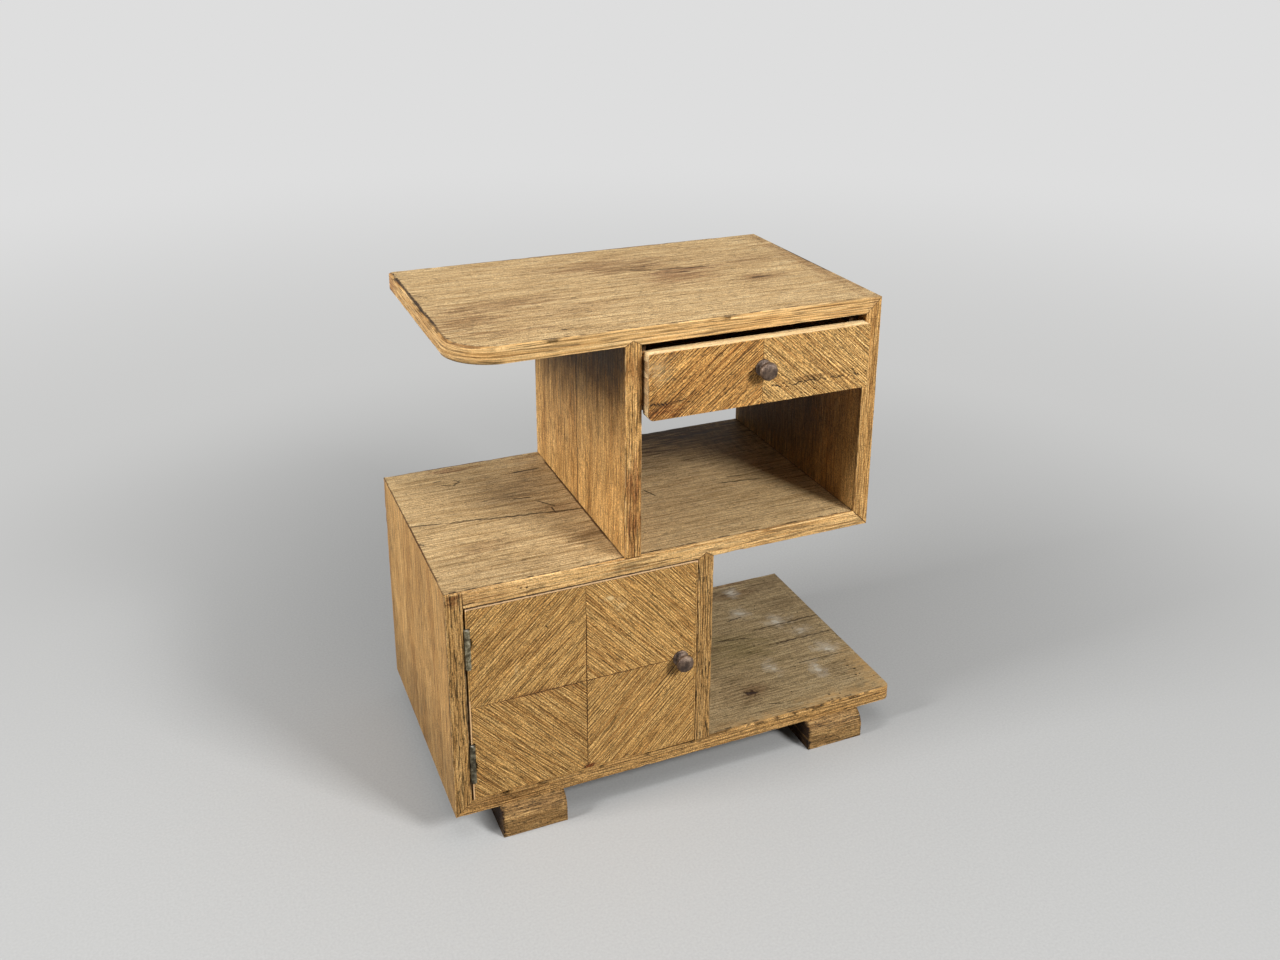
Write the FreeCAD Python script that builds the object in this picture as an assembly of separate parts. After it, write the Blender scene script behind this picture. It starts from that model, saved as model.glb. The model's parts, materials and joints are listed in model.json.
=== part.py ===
import FreeCAD, Part
import os

# A bedside cabinet in oak veneer, in millimetres. An upper box holds a drawer over an open
# niche, and stands on a lower cupboard with a hinged door. The top overhangs to the left
# with a rounded corner, the base runs on to the right as an open shelf, and four block
# feet carry it. It is built with x = 0 at the outer face of the left side, y = 0 at the
# front arris and z = 0 at the floor, then moved to the middle of its own footprint.

V = FreeCAD.Vector
ALONG_X = V(1, 0, 0)
ALONG_Y = V(0, 1, 0)
ALONG_Z = V(0, 0, 1)

# Boards and heights, from the floor up
width = 600.0
depth = 322.0
upright_t = 20.0
foot_h = 36.0
base_t = 17.0
cupboard_clear_h = 258.0
middle_t = 20.0
bay_clear_h = 260.0
top_t = 19.0

# Places along the width, from the outer face of the left side
top_left_inset = 23.0
upper_divider_inset = 213.5
lower_divider_inset = 308.0
upper_box_reach = 541.5

# Rounded corners in plan, front edge strips and the points where strips meet
top_corner_r = 56.0
base_corner_r = 12.0
lipping_t = 4.0
joint_point_h = 6.0

# Block feet with a rounded front
foot_w = 80.0
foot_d = 60.0
foot_inset = 53.0
foot_proud = 13.0
foot_round_h = 20.0

# Back panels, let into rebates and pinned
back_t = 5.0
rebate_w = 8.0
panel_clear = 0.3
bay_back_h = 92.0

# Drawer: how far it stands out at rest, its gaps to the bay and its boards
drawer_pull = 12.0
drawer_rear_gap = 25.0
drawer_front_h = 79.0
drawer_front_t = 17.0
drawer_gap_left = 3.0
drawer_gap_right = 1.5
drawer_gap_top = 8.5
drawer_side_t = 10.0
drawer_side_h = 58.0
drawer_back_t = 10.0
drawer_back_drop = 3.0
drawer_bottom_t = 4.0
drawer_groove_d = 5.0
drawer_groove_lift = 8.0
drawer_lap_t = 4.0
dovetail_count = 3
dovetail_tip_share = 0.72
dovetail_root_share = 0.5

# Runners below the drawer, kickers above it and stops behind it
runner_w = 12.0
runner_h = 12.0
runner_lift = 2.0
runner_setback = 1.5
kicker_gap = 1.5
stop_l = 12.0
stop_h = 8.0
stop_gap = 0.3

# Door: gaps, layers and the line where its four leaves meet
door_t = 18.0
door_gap_hinge = 2.2
door_gap_lock = 1.0
door_gap_top = 1.3
door_gap_bottom = 1.5
veneer_t = 1.0
edge_strip_t = 2.0
leaf_line_drop = 2.0
door_stop_w = 8.0
door_stop_t = 8.0
door_stop_gap = 0.3
door_stop_short = 6.0

# Butt hinges with three knuckles
hinge_h = 50.0
hinge_inset = 26.0
hinge_leaf_t = 1.0
hinge_leaf_w = 16.0
knuckle_r = 3.2
knuckle_stand = 0.1
knuckle_gap = 0.3
knuckle_forward = 1.4
knuckle_shares = (0.34, 0.66)
pin_r = 1.5
pin_clear = 0.05
pin_head_r = 2.2
pin_head_h = 1.0
notch_clear = 0.5

# Turned knobs
knob_reach = 19.0
knob_rose_r = 10.2
knob_rose_t = 2.4
knob_neck_r = 4.8
knob_head_r = 11.0
knob_under_r = 7.6
knob_face_r = 8.0
knob_head_t = 9.0
knob_rim_back = 5.0
knob_edge_r = 0.8
knob_bore_l = 9.0
door_knob_inset = 21.0
drawer_knob_lift = 5.0
knob_screw_r = 2.0
knob_screw_head_r = 4.0
knob_screw_head_h = 2.4

# Ball catch in the free edge of the door, with its strike
catch_r = 4.0
catch_l = 13.0
catch_bore_r = 2.6
catch_bore_l = 10.0
ball_r = 2.5
ball_out = 0.8
spring_wire_r = 0.3
spring_coil_r = 1.8
spring_turns = 5
strike_w = 9.0
strike_h = 24.0
strike_t = 1.0
strike_hole_r = 2.0

# Fasteners
wood_screw_r = 1.6
wood_screw_head_r = 3.2
hinge_screw_l = 13.0
hinge_screw_r = 1.1
hinge_screw_head_r = 2.3
hinge_screw_inset = 8.0
runner_screw_l = 24.0
runner_screw_inset = 45.0
foot_screw_sink = 6.0
foot_screw_bite = 11.0
foot_screw_inset = 22.0
dowel_r = 4.0
dowel_bite = 11.0
dowel_inset = 40.0
back_pin_r = 0.8
back_pin_head_r = 1.8
back_pin_head_t = 0.6
back_pin_l = 14.0
back_pin_inset = 24.0
slot_w = 0.7
slot_d = 0.6
tip_share = 1.6
hole_clear = 0.05
hole_end_clear = 0.5

# Length that every cutting shape runs past the face it cuts
overrun = 5.0

# Levels
base_z0 = foot_h
base_z1 = base_z0 + base_t
middle_z0 = base_z1 + cupboard_clear_h
middle_z1 = middle_z0 + middle_t
top_z0 = middle_z1 + bay_clear_h
top_z1 = top_z0 + top_t

# Faces across the width
cupboard_x0 = upright_t
cupboard_x1 = lower_divider_inset
lower_divider_x1 = lower_divider_inset + upright_t
bay_x0 = upper_divider_inset + upright_t
bay_x1 = upper_box_reach - upright_t
back_y = depth - back_t

# Drawer places, with the drawer shut and its face flush with the front
drawer_l = back_y - drawer_rear_gap
drawer_x0 = bay_x0 + drawer_gap_left
drawer_x1 = bay_x1 - drawer_gap_right
drawer_mid_x = (drawer_x0 + drawer_x1) / 2
drawer_z1 = top_z0 - drawer_gap_top
drawer_z0 = drawer_z1 - drawer_front_h
runner_z0 = drawer_z0 + runner_lift
runner_z1 = runner_z0 + runner_h
drawer_side_z1 = runner_z1 + drawer_side_h
drawer_bottom_z0 = runner_z1 + drawer_groove_lift
drawer_bottom_z1 = drawer_bottom_z0 + drawer_bottom_t
drawer_knob_z = (drawer_z0 + drawer_z1) / 2 + drawer_knob_lift

# Door places
door_x0 = cupboard_x0 + door_gap_hinge
door_x1 = cupboard_x1 - door_gap_lock
door_z0 = base_z1 + door_gap_bottom
door_z1 = middle_z0 - door_gap_top
leaf_line_x = (door_x0 + door_x1) / 2
leaf_line_z = (door_z0 + door_z1) / 2 - leaf_line_drop
door_knob_x = door_x1 - door_knob_inset
hinge_x = cupboard_x0 + knuckle_r + knuckle_stand
hinge_y = -knuckle_forward
hinge_levels = {
    "upper": door_z1 - hinge_inset - hinge_h,
    "lower": door_z0 + hinge_inset,
}

parts = {}


def box(x0, x1, y0, y1, z0, z1):
    """A block between two corners."""
    return Part.makeBox(x1 - x0, y1 - y0, z1 - z0, V(x0, y0, z0))


def slab_xz(points, y0, y1):
    """A straight-edged outline seen from the front, carried from y0 back to y1."""
    corners = [V(x, y0, z) for x, z in points]
    face = Part.Face(Part.makePolygon(corners + corners[:1]))
    return face.extrude(V(0, y1 - y0, 0))


def slab_yz(points, x0, x1):
    """A straight-edged outline seen from the side, carried from x0 to x1."""
    corners = [V(x0, y, z) for y, z in points]
    face = Part.Face(Part.makePolygon(corners + corners[:1]))
    return face.extrude(V(x1 - x0, 0, 0))


def turned(points):
    """A solid turned about z from (radius, height) points that start and end on the axis."""
    corners = [V(r, 0, h) for r, h in points]
    face = Part.Face(Part.makePolygon(corners + corners[:1]))
    return face.revolve(V(0, 0, 0), ALONG_Z, 360)


def aimed(shape, origin, direction):
    """A shape built along z from the origin, set down at a place along a direction."""
    moved = shape.copy()
    moved.Placement = FreeCAD.Placement(origin, FreeCAD.Rotation(ALONG_Z, direction))
    return moved


def cut(shape, tools):
    """A shape less a list of cutting shapes."""
    return shape.cut(tools) if tools else shape


def group(shapes):
    """Several separate solids held as one group."""
    solids = [solid for shape in shapes for solid in shape.Solids]
    return Part.makeCompound(solids)


def spread(start, end, count):
    """Evenly spaced places from start to end."""
    step = (end - start) / (count - 1)
    return [start + step * i for i in range(count)]


def screw(length, shank_r, head_r):
    """A slotted countersunk screw, its head flush with z = 0 and its point along z."""
    head_h = head_r - shank_r
    tip_l = shank_r * tip_share
    body = turned([(0, 0), (head_r, 0), (shank_r, head_h), (shank_r, length - tip_l), (0, length)])
    slot = box(-head_r, head_r, -slot_w / 2, slot_w / 2, -overrun, slot_d)
    return cut(body, [slot])


def screw_hole(length, shank_r, head_r):
    """The cutting shape for a screw of the same sizes."""
    head_h = head_r - shank_r
    wide_r = head_r + hole_clear
    narrow_r = shank_r + hole_clear
    end = length + hole_end_clear
    return turned([(0, -overrun), (wide_r, -overrun), (wide_r, 0), (narrow_r, head_h),
                   (narrow_r, end), (0, end)])


def dowel_hole(origin, direction):
    """The cutting shape for a dowel that is centred on a joint."""
    reach = dowel_bite + hole_end_clear
    start = origin - direction * reach
    return Part.makeCylinder(dowel_r + hole_clear, 2 * reach, start, direction)


def back_pin(length, shank_r, head_r, head_t):
    """A flat-headed panel pin, its head flush with z = 0."""
    tip_l = shank_r * tip_share
    return turned([(0, 0), (head_r, 0), (head_r, head_t), (shank_r, head_t),
                   (shank_r, length - tip_l), (0, length)])


# Fastener places, gathered first because each one also cuts the pieces that it joins

def foot_corners():
    """The low x and y corner of each foot's block, by the foot's name."""
    left = foot_inset
    right = width - foot_inset - foot_w
    rear = depth - foot_d
    return {
        "front_left_foot": (left, 0.0),
        "front_right_foot": (right, 0.0),
        "rear_left_foot": (left, rear),
        "rear_right_foot": (right, rear),
    }


def foot_screw_points():
    """Two screws to a foot, driven up from the sole."""
    points = []
    for x, y in foot_corners().values():
        for across in (foot_screw_inset, foot_w - foot_screw_inset):
            points.append(V(x + across, y + foot_d / 2, foot_screw_sink))
    return points


def dowel_points(x, z):
    """Three dowels in a row across the depth of a divider's end."""
    return [V(x, y, z) for y in spread(dowel_inset, depth - dowel_inset, 3)]


def runner_screw_places():
    """Screws through the runners and kickers into the uprights: place and direction."""
    levels = (runner_z0 + runner_h / 2, (drawer_side_z1 + kicker_gap + top_z0) / 2)
    first = drawer_front_t + runner_screw_inset
    places = []
    for z in levels:
        for y in spread(first, back_y - runner_screw_inset, 3):
            places.append((V(bay_x0 + runner_w, y, z), -ALONG_X))
            places.append((V(bay_x1 - runner_w, y, z), ALONG_X))
    return places


def panel_pin_places(x0, x1, z0, z1, bottom):
    """Pins round the edge of a back panel, along its foot as well where that is held."""
    rows = spread(z0 + back_pin_inset, z1 - back_pin_inset, 3)
    columns = spread(x0 + back_pin_inset, x1 - back_pin_inset, 4)
    edge = rebate_w / 2
    places = [V(x, depth, z) for z in rows for x in (x0 + edge, x1 - edge)]
    places += [V(x, depth, z1 - edge) for x in columns]
    if bottom:
        places += [V(x, depth, z0 + edge) for x in columns]
    return places


foot_screw_l = foot_h - foot_screw_sink + foot_screw_bite
cupboard_back = (cupboard_x0 - rebate_w, cupboard_x1 + rebate_w,
                 base_z1 - rebate_w, middle_z0 + rebate_w)
bay_back = (bay_x0 - rebate_w, bay_x1 + rebate_w, top_z0 - bay_back_h, top_z0 + rebate_w)
pin_places = panel_pin_places(*cupboard_back, True) + panel_pin_places(*bay_back, False)
upper_divider_mid = upper_divider_inset + upright_t / 2
lower_divider_mid = lower_divider_inset + upright_t / 2
dowel_places = (dowel_points(upper_divider_mid, middle_z1) + dowel_points(upper_divider_mid, top_z0)
                + dowel_points(lower_divider_mid, base_z1)
                + dowel_points(lower_divider_mid, middle_z0))


def carcass_cuts():
    """Everything that is let into the fixed boards."""
    tools = []
    for x0, x1, z0, z1 in (cupboard_back, bay_back):
        tools.append(box(x0 - panel_clear, x1 + panel_clear, back_y, depth + overrun,
                         z0 - panel_clear, z1 + panel_clear))
    tools += [dowel_hole(point, ALONG_Z) for point in dowel_places]
    hole = screw_hole(foot_screw_l, wood_screw_r, wood_screw_head_r)
    tools += [aimed(hole, point, ALONG_Z) for point in foot_screw_points()]
    hole = screw_hole(runner_screw_l, wood_screw_r, wood_screw_head_r)
    tools += [aimed(hole, point, way) for point, way in runner_screw_places()]
    pin_hole = back_pin(back_pin_l, back_pin_r, back_pin_head_r, back_pin_head_t)
    tools += [aimed(pin_hole, point, -ALONG_Y) for point in pin_places]
    hole = screw_hole(hinge_screw_l, hinge_screw_r, hinge_screw_head_r)
    tools += [aimed(hole, point, -ALONG_X) for point in hinge_screw_points(cupboard_x0 + hinge_leaf_t)]
    tools.append(strike_seat())
    return tools


def near(shape, tools):
    """The cutting shapes whose boxes reach a shape's box."""
    return [tool for tool in tools if tool.BoundBox.intersect(shape.BoundBox)]


# Carcass boards, mitred where two of them make an outer corner

def corner_waste(corner_x, radius):
    """What a rounded front right corner takes off, seen from above."""
    low_z = base_z0 - overrun
    high_z = base_z1 + overrun
    block = box(corner_x - radius, corner_x + overrun, -overrun, radius, low_z, high_z)
    bar = Part.makeCylinder(radius, high_z - low_z, V(corner_x - radius, radius, low_z), ALONG_Z)
    return cut(block, [bar])


def top_plan(offset):
    """The top's outline in plan, drawn in by an offset at its left end and front."""
    left = top_left_inset + offset
    front = offset
    radius = top_corner_r - offset
    middle = V(top_left_inset + top_corner_r, top_corner_r, top_z0)
    bend = middle + V(-radius, 0, 0), middle + V(0, -radius, 0)
    turn = V(-radius, -radius, 0).normalize() * radius
    start = V(upper_box_reach, front, top_z0)
    far = V(upper_box_reach, depth, top_z0)
    end = V(left, depth, top_z0)
    edges = [
        Part.LineSegment(start, bend[1]).toShape(),
        Part.Arc(bend[1], middle + turn, bend[0]).toShape(),
        Part.LineSegment(bend[0], end).toShape(),
        Part.LineSegment(end, far).toShape(),
        Part.LineSegment(far, start).toShape(),
    ]
    return Part.Face(Part.Wire(edges)).extrude(V(0, 0, top_t))


def board_outlines():
    """Front outlines of the boards, as (x, z) corners."""
    xr = upper_box_reach
    return {
        "left_side": [(0, base_z0), (upright_t, base_z1), (upright_t, middle_z0), (0, middle_z1)],
        "base_board": [(0, base_z0), (width, base_z0), (width, base_z1), (upright_t, base_z1)],
        "middle_board": [(0, middle_z1), (upright_t, middle_z0), (xr, middle_z0), (bay_x1, middle_z1)],
        "right_side": [(xr, middle_z0), (xr, top_z1), (bay_x1, top_z0), (bay_x1, middle_z1)],
        "upper_divider": [(upper_divider_inset, middle_z1), (bay_x0, middle_z1),
                          (bay_x0, top_z0), (upper_divider_inset, top_z0)],
        "lower_divider": [(lower_divider_inset, base_z1), (lower_divider_x1, base_z1),
                          (lower_divider_x1, middle_z0), (lower_divider_inset, middle_z0)],
    }


def pointed(x0, x1, z0, z1):
    """A divider's edge strip, its upper end brought to a point."""
    return [(x0, z0), (x1, z0), (x1, z1), ((x0 + x1) / 2, z1 + joint_point_h), (x0, z1)]


def make_carcass():
    """The fixed boards and the solid strips along their front edges."""
    outlines = board_outlines()
    tools = carcass_cuts()
    round_off = corner_waste(width, base_corner_r)
    for name, outline in outlines.items():
        board = slab_xz(outline, lipping_t, depth)
        if name == "base_board":
            board = cut(board, [round_off])
        parts[name] = cut(board, near(board, tools))

    top_cross = slab_xz([(0, top_z0), (bay_x1, top_z0), (upper_box_reach, top_z1), (0, top_z1)],
                        0, depth)
    core = top_plan(lipping_t).common(top_cross)
    band = cut(top_plan(0).common(top_cross), [core])
    parts["top_board"] = cut(core, near(core, tools))

    divider_strip = slab_xz(pointed(upper_divider_inset, bay_x0, middle_z1, top_z0), 0, lipping_t)
    lower_strip = slab_xz(pointed(lower_divider_inset, lower_divider_x1, base_z1, middle_z0),
                          0, lipping_t)
    middle_strip = slab_xz([(upright_t, middle_z0), (upper_box_reach, middle_z0),
                            (bay_x1, middle_z1), (upright_t, middle_z1)], 0, lipping_t)
    left_strip = slab_xz([(0, base_z0), (upright_t, base_z1), (upright_t, middle_z1),
                          (0, middle_z1)], 0, lipping_t)
    parts["top_edge_band"] = cut(band, [divider_strip])
    parts["upper_divider_lipping"] = divider_strip
    parts["lower_divider_lipping"] = lower_strip
    parts["middle_lipping"] = cut(middle_strip, [lower_strip])
    parts["left_side_lipping"] = left_strip
    parts["right_side_lipping"] = slab_xz(outlines["right_side"], 0, lipping_t)
    base_strip = slab_xz(outlines["base_board"], 0, lipping_t)
    parts["base_lipping"] = cut(base_strip, [round_off])


def make_feet():
    """Four blocks. The front pair swells forward in a rounded face."""
    hole = screw_hole(foot_screw_l, wood_screw_r, wood_screw_head_r)
    tools = [aimed(hole, point, ALONG_Z) for point in foot_screw_points()]
    # A round that leaves the underside of the base at y = 0 and ends upright on the face.
    radius = (foot_proud ** 2 + foot_round_h ** 2) / (2 * foot_proud)
    knee_z = foot_h - foot_round_h
    for name, (x, y) in foot_corners().items():
        if name.startswith("front"):
            centre = V(x, radius - foot_proud, knee_z)
            ray = V(0, -radius - centre.y, foot_round_h).normalize() * radius
            knee = V(x, -foot_proud, knee_z)
            peak = V(x, 0, foot_h)
            corners = [knee, V(x, -foot_proud, 0), V(x, foot_d, 0), V(x, foot_d, foot_h), peak]
            edges = [Part.LineSegment(a, b).toShape() for a, b in zip(corners, corners[1:])]
            edges.append(Part.Arc(peak, centre + ray, knee).toShape())
            foot = Part.Face(Part.Wire(edges)).extrude(V(foot_w, 0, 0))
        else:
            foot = box(x, x + foot_w, y, y + foot_d, 0, foot_h)
        parts[name] = cut(foot, near(foot, tools))


def make_backs():
    """Thin back panels: one behind the cupboard, one behind the drawer."""
    pin_hole = back_pin(back_pin_l, back_pin_r, back_pin_head_r, back_pin_head_t)
    tools = [aimed(pin_hole, point, -ALONG_Y) for point in pin_places]
    for name, (x0, x1, z0, z1) in (("cupboard_back_panel", cupboard_back),
                                   ("bay_back_panel", bay_back)):
        panel = box(x0, x1, back_y, depth, z0, z1)
        parts[name] = cut(panel, near(panel, tools))
    parts["back_panel_pins"] = group(tools)


def make_carcass_fasteners():
    """Dowels in the dividers' ends and the screws that hold feet, runners and kickers."""
    dowels = []
    for point in dowel_places:
        start = point - ALONG_Z * dowel_bite
        dowels.append(Part.makeCylinder(dowel_r, 2 * dowel_bite, start, ALONG_Z))
    parts["divider_dowels"] = group(dowels)
    foot_screw = screw(foot_screw_l, wood_screw_r, wood_screw_head_r)
    parts["foot_screws"] = group([aimed(foot_screw, p, ALONG_Z) for p in foot_screw_points()])
    runner_screw = screw(runner_screw_l, wood_screw_r, wood_screw_head_r)
    parts["runner_screws"] = group([aimed(runner_screw, p, way)
                                    for p, way in runner_screw_places()])


# Drawer bay and drawer

def make_runners():
    """Runners that carry the drawer, kickers that stop it tipping, and end stops."""
    hole = screw_hole(runner_screw_l, wood_screw_r, wood_screw_head_r)
    tools = [aimed(hole, point, way) for point, way in runner_screw_places()]
    y0 = drawer_front_t + runner_setback
    kicker_z0 = drawer_side_z1 + kicker_gap
    stop_y = drawer_l + stop_gap
    stops = []
    for side, x0 in (("left", bay_x0), ("right", bay_x1 - runner_w)):
        runner = box(x0, x0 + runner_w, y0, back_y, runner_z0, runner_z1)
        kicker = box(x0, x0 + runner_w, y0, back_y, kicker_z0, top_z0)
        parts[side + "_runner"] = cut(runner, near(runner, tools))
        parts[side + "_kicker"] = cut(kicker, near(kicker, tools))
        stops.append(box(x0, x0 + runner_w, stop_y, stop_y + stop_l, runner_z1, runner_z1 + stop_h))
    parts["drawer_stops"] = group(stops)


def dovetails(x0, x1):
    """Tails on a drawer side's front end, narrower at the root than at the tip."""
    pitch = drawer_side_h / dovetail_count
    tip = pitch * dovetail_tip_share / 2
    root = pitch * dovetail_root_share / 2
    tails = []
    for i in range(dovetail_count):
        z = runner_z1 + pitch * i + pitch / 2
        corners = [(drawer_lap_t, z - tip), (drawer_front_t, z - root),
                   (drawer_front_t, z + root), (drawer_lap_t, z + tip)]
        tails.append(slab_yz(corners, x0, x1))
    return tails


def make_drawer():
    """The drawer, built shut and then drawn out to where it rests."""
    left = (drawer_x0, drawer_x0 + drawer_side_t)
    right = (drawer_x1 - drawer_side_t, drawer_x1)
    inner_x0 = left[1]
    inner_x1 = right[0]
    back_y0 = drawer_l - drawer_back_t
    groove_y0 = drawer_front_t - drawer_groove_d
    panel = box(inner_x0 - drawer_groove_d, inner_x1 + drawer_groove_d, groove_y0, drawer_l,
                drawer_bottom_z0, drawer_bottom_z1)
    knob_place = V(drawer_mid_x, 0, drawer_knob_z)
    screw_bore = knob_screw_hole(knob_place)

    front = box(drawer_x0, drawer_x1, veneer_t, drawer_front_t, drawer_z0, drawer_z1)
    tails = dovetails(*left) + dovetails(*right)
    pieces = {}
    pieces["drawer_front_core"] = cut(front, tails + [panel, screw_bore])
    for side, (x0, x1) in (("left", left), ("right", right)):
        board = box(x0, x1, drawer_front_t, drawer_l, runner_z1, drawer_side_z1)
        board = board.fuse(dovetails(x0, x1)).removeSplitter()
        pieces["drawer_" + side + "_side"] = cut(board, [panel])
    pieces["drawer_back"] = box(inner_x0, inner_x1, back_y0, drawer_l, drawer_bottom_z1,
                                drawer_side_z1 - drawer_back_drop)
    pieces["drawer_bottom"] = cut(panel, tails)
    for side, x0, x1 in (("left", drawer_x0, drawer_mid_x), ("right", drawer_mid_x, drawer_x1)):
        leaf = box(x0, x1, 0, veneer_t, drawer_z0, drawer_z1)
        pieces["drawer_veneer_" + side] = cut(leaf, [screw_bore])
    pieces["drawer_knob"] = knob(knob_place)
    pieces["drawer_knob_screw"] = knob_screw(knob_place, drawer_front_t)
    for name, piece in pieces.items():
        piece.translate(V(0, -drawer_pull, 0))
        parts[name] = piece


# Knobs, turned about the line that they are pulled along

def knob(place):
    """A mushroom knob on a round rose, bored from behind for its screw."""
    head_back = knob_reach - knob_head_t
    rim_h = knob_reach - knob_rim_back
    waist_h = (knob_rose_t + head_back) / 2
    rose_edge_r = knob_rose_r - knob_edge_r
    cove_share = 0.25
    bulge_share = 0.75

    def at(radius, height):
        return V(radius, 0, height)

    def between(start, end, share_out, share_up):
        return at(start.x + (end.x - start.x) * share_out, start.z + (end.z - start.z) * share_up)

    foot = at(0, 0)
    rose_foot = at(knob_rose_r, 0)
    rose_side = at(knob_rose_r, knob_rose_t - knob_edge_r)
    rose_top = at(rose_edge_r, knob_rose_t)
    waist = at(knob_neck_r, waist_h)
    under = at(knob_under_r, head_back)
    rim = at(knob_head_r, rim_h)
    face_edge = at(knob_face_r, knob_reach)
    centre = at(0, knob_reach)
    edges = [
        Part.LineSegment(foot, rose_foot).toShape(),
        Part.LineSegment(rose_foot, rose_side).toShape(),
        Part.Arc(rose_side, between(rose_side, rose_top, cove_share, bulge_share), rose_top).toShape(),
        Part.Arc(rose_top, between(rose_top, waist, bulge_share, cove_share), waist).toShape(),
        Part.Arc(waist, between(waist, under, cove_share, bulge_share), under).toShape(),
        Part.Arc(under, between(under, rim, bulge_share, cove_share), rim).toShape(),
        Part.Arc(rim, between(rim, face_edge, cove_share, bulge_share), face_edge).toShape(),
        Part.LineSegment(face_edge, centre).toShape(),
        Part.LineSegment(centre, foot).toShape(),
    ]
    body = Part.Face(Part.Wire(edges)).revolve(V(0, 0, 0), ALONG_Z, 360)
    bore = Part.makeCylinder(knob_screw_r + hole_clear, knob_bore_l + overrun + hole_end_clear,
                             V(0, 0, -overrun))
    return aimed(cut(body, [bore]), place, -ALONG_Y)


def knob_screw(place, board_t):
    """A pan-headed screw through a board from behind, into the knob."""
    head_y = board_t + knob_screw_head_h
    length = board_t + knob_bore_l
    head_edge = knob_screw_head_h / 2
    body = turned([(0, 0), (knob_screw_head_r - head_edge, 0), (knob_screw_head_r, head_edge),
                   (knob_screw_head_r, knob_screw_head_h), (knob_screw_r, knob_screw_head_h),
                   (knob_screw_r, knob_screw_head_h + length), (0, knob_screw_head_h + length)])
    slot = box(-knob_screw_head_r, knob_screw_head_r, -slot_w / 2, slot_w / 2, -overrun, slot_d)
    return aimed(cut(body, [slot]), place + V(0, head_y, 0), -ALONG_Y)


def knob_screw_hole(place):
    """The cutting shape for a knob's screw through its board."""
    start = place + V(0, -overrun, 0)
    return Part.makeCylinder(knob_screw_r + hole_clear, 2 * overrun + door_t, start, ALONG_Y)


# Hinges, with the leaves lying in the gap between the side and the door

def hinge_screw_points(face_x):
    """Three screws to a leaf, on the leaf's face."""
    y = (hinge_y + knuckle_r + hinge_leaf_w) / 2
    points = []
    for z0 in hinge_levels.values():
        for z in spread(z0 + hinge_screw_inset, z0 + hinge_h - hinge_screw_inset, 3):
            points.append(V(face_x, y, z))
    return points


def hinge_leaf(z0, face_x, knuckles, tools):
    """A leaf with its share of the knuckles, bored for the pin."""
    clear_y = hinge_y + knuckle_r + knuckle_gap
    x1 = face_x + hinge_leaf_t
    leaf = box(face_x, x1, clear_y, hinge_leaf_w, z0, z0 + hinge_h)
    solids = []
    for low, high in knuckles:
        solids.append(box(face_x, x1, hinge_y, clear_y, low, high))
        solids.append(Part.makeCylinder(knuckle_r, high - low, V(hinge_x, hinge_y, low), ALONG_Z))
    leaf = leaf.fuse(solids).removeSplitter()
    bore = Part.makeCylinder(pin_r + pin_clear, hinge_h + 2 * overrun,
                             V(hinge_x, hinge_y, z0 - overrun), ALONG_Z)
    return cut(leaf, [bore] + near(leaf, tools))


def make_hinges():
    """Both hinges: a leaf on the side, a leaf on the door's edge, and a headed pin."""
    hole = screw_hole(hinge_screw_l, hinge_screw_r, hinge_screw_head_r)
    fixed_face = cupboard_x0 + hinge_leaf_t
    moving_face = door_x0 - hinge_leaf_t
    fixed_tools = [aimed(hole, p, -ALONG_X) for p in hinge_screw_points(fixed_face)]
    moving_tools = [aimed(hole, p, ALONG_X) for p in hinge_screw_points(moving_face)]
    for name, z0 in hinge_levels.items():
        low, high = (z0 + hinge_h * share for share in knuckle_shares)
        outer = [(z0, low), (high, z0 + hinge_h)]
        inner = [(low + knuckle_gap, high - knuckle_gap)]
        parts[name + "_hinge_cabinet_leaf"] = hinge_leaf(z0, cupboard_x0, outer, fixed_tools)
        parts[name + "_hinge_door_leaf"] = hinge_leaf(z0, moving_face, inner, moving_tools)
        pin = turned([(0, 0), (pin_r, 0), (pin_r, hinge_h), (pin_head_r, hinge_h),
                      (pin_head_r, hinge_h + pin_head_h / 2), (pin_r, hinge_h + pin_head_h),
                      (0, hinge_h + pin_head_h)])
        parts[name + "_hinge_pin"] = aimed(pin, V(hinge_x, hinge_y, z0), ALONG_Z)
    body = screw(hinge_screw_l, hinge_screw_r, hinge_screw_head_r)
    parts["hinge_cabinet_screws"] = group([aimed(body, p, -ALONG_X)
                                           for p in hinge_screw_points(fixed_face)])
    parts["hinge_door_screws"] = group([aimed(body, p, ALONG_X)
                                        for p in hinge_screw_points(moving_face)])


# Ball catch

def strike_seat():
    """The shallow seat in the divider for the strike plate and its dimple."""
    y = door_t / 2
    x0 = cupboard_x1
    return box(x0 - overrun, x0 + strike_t, y - strike_w / 2, y + strike_w / 2,
               leaf_line_z - strike_h / 2, leaf_line_z + strike_h / 2)


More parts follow.
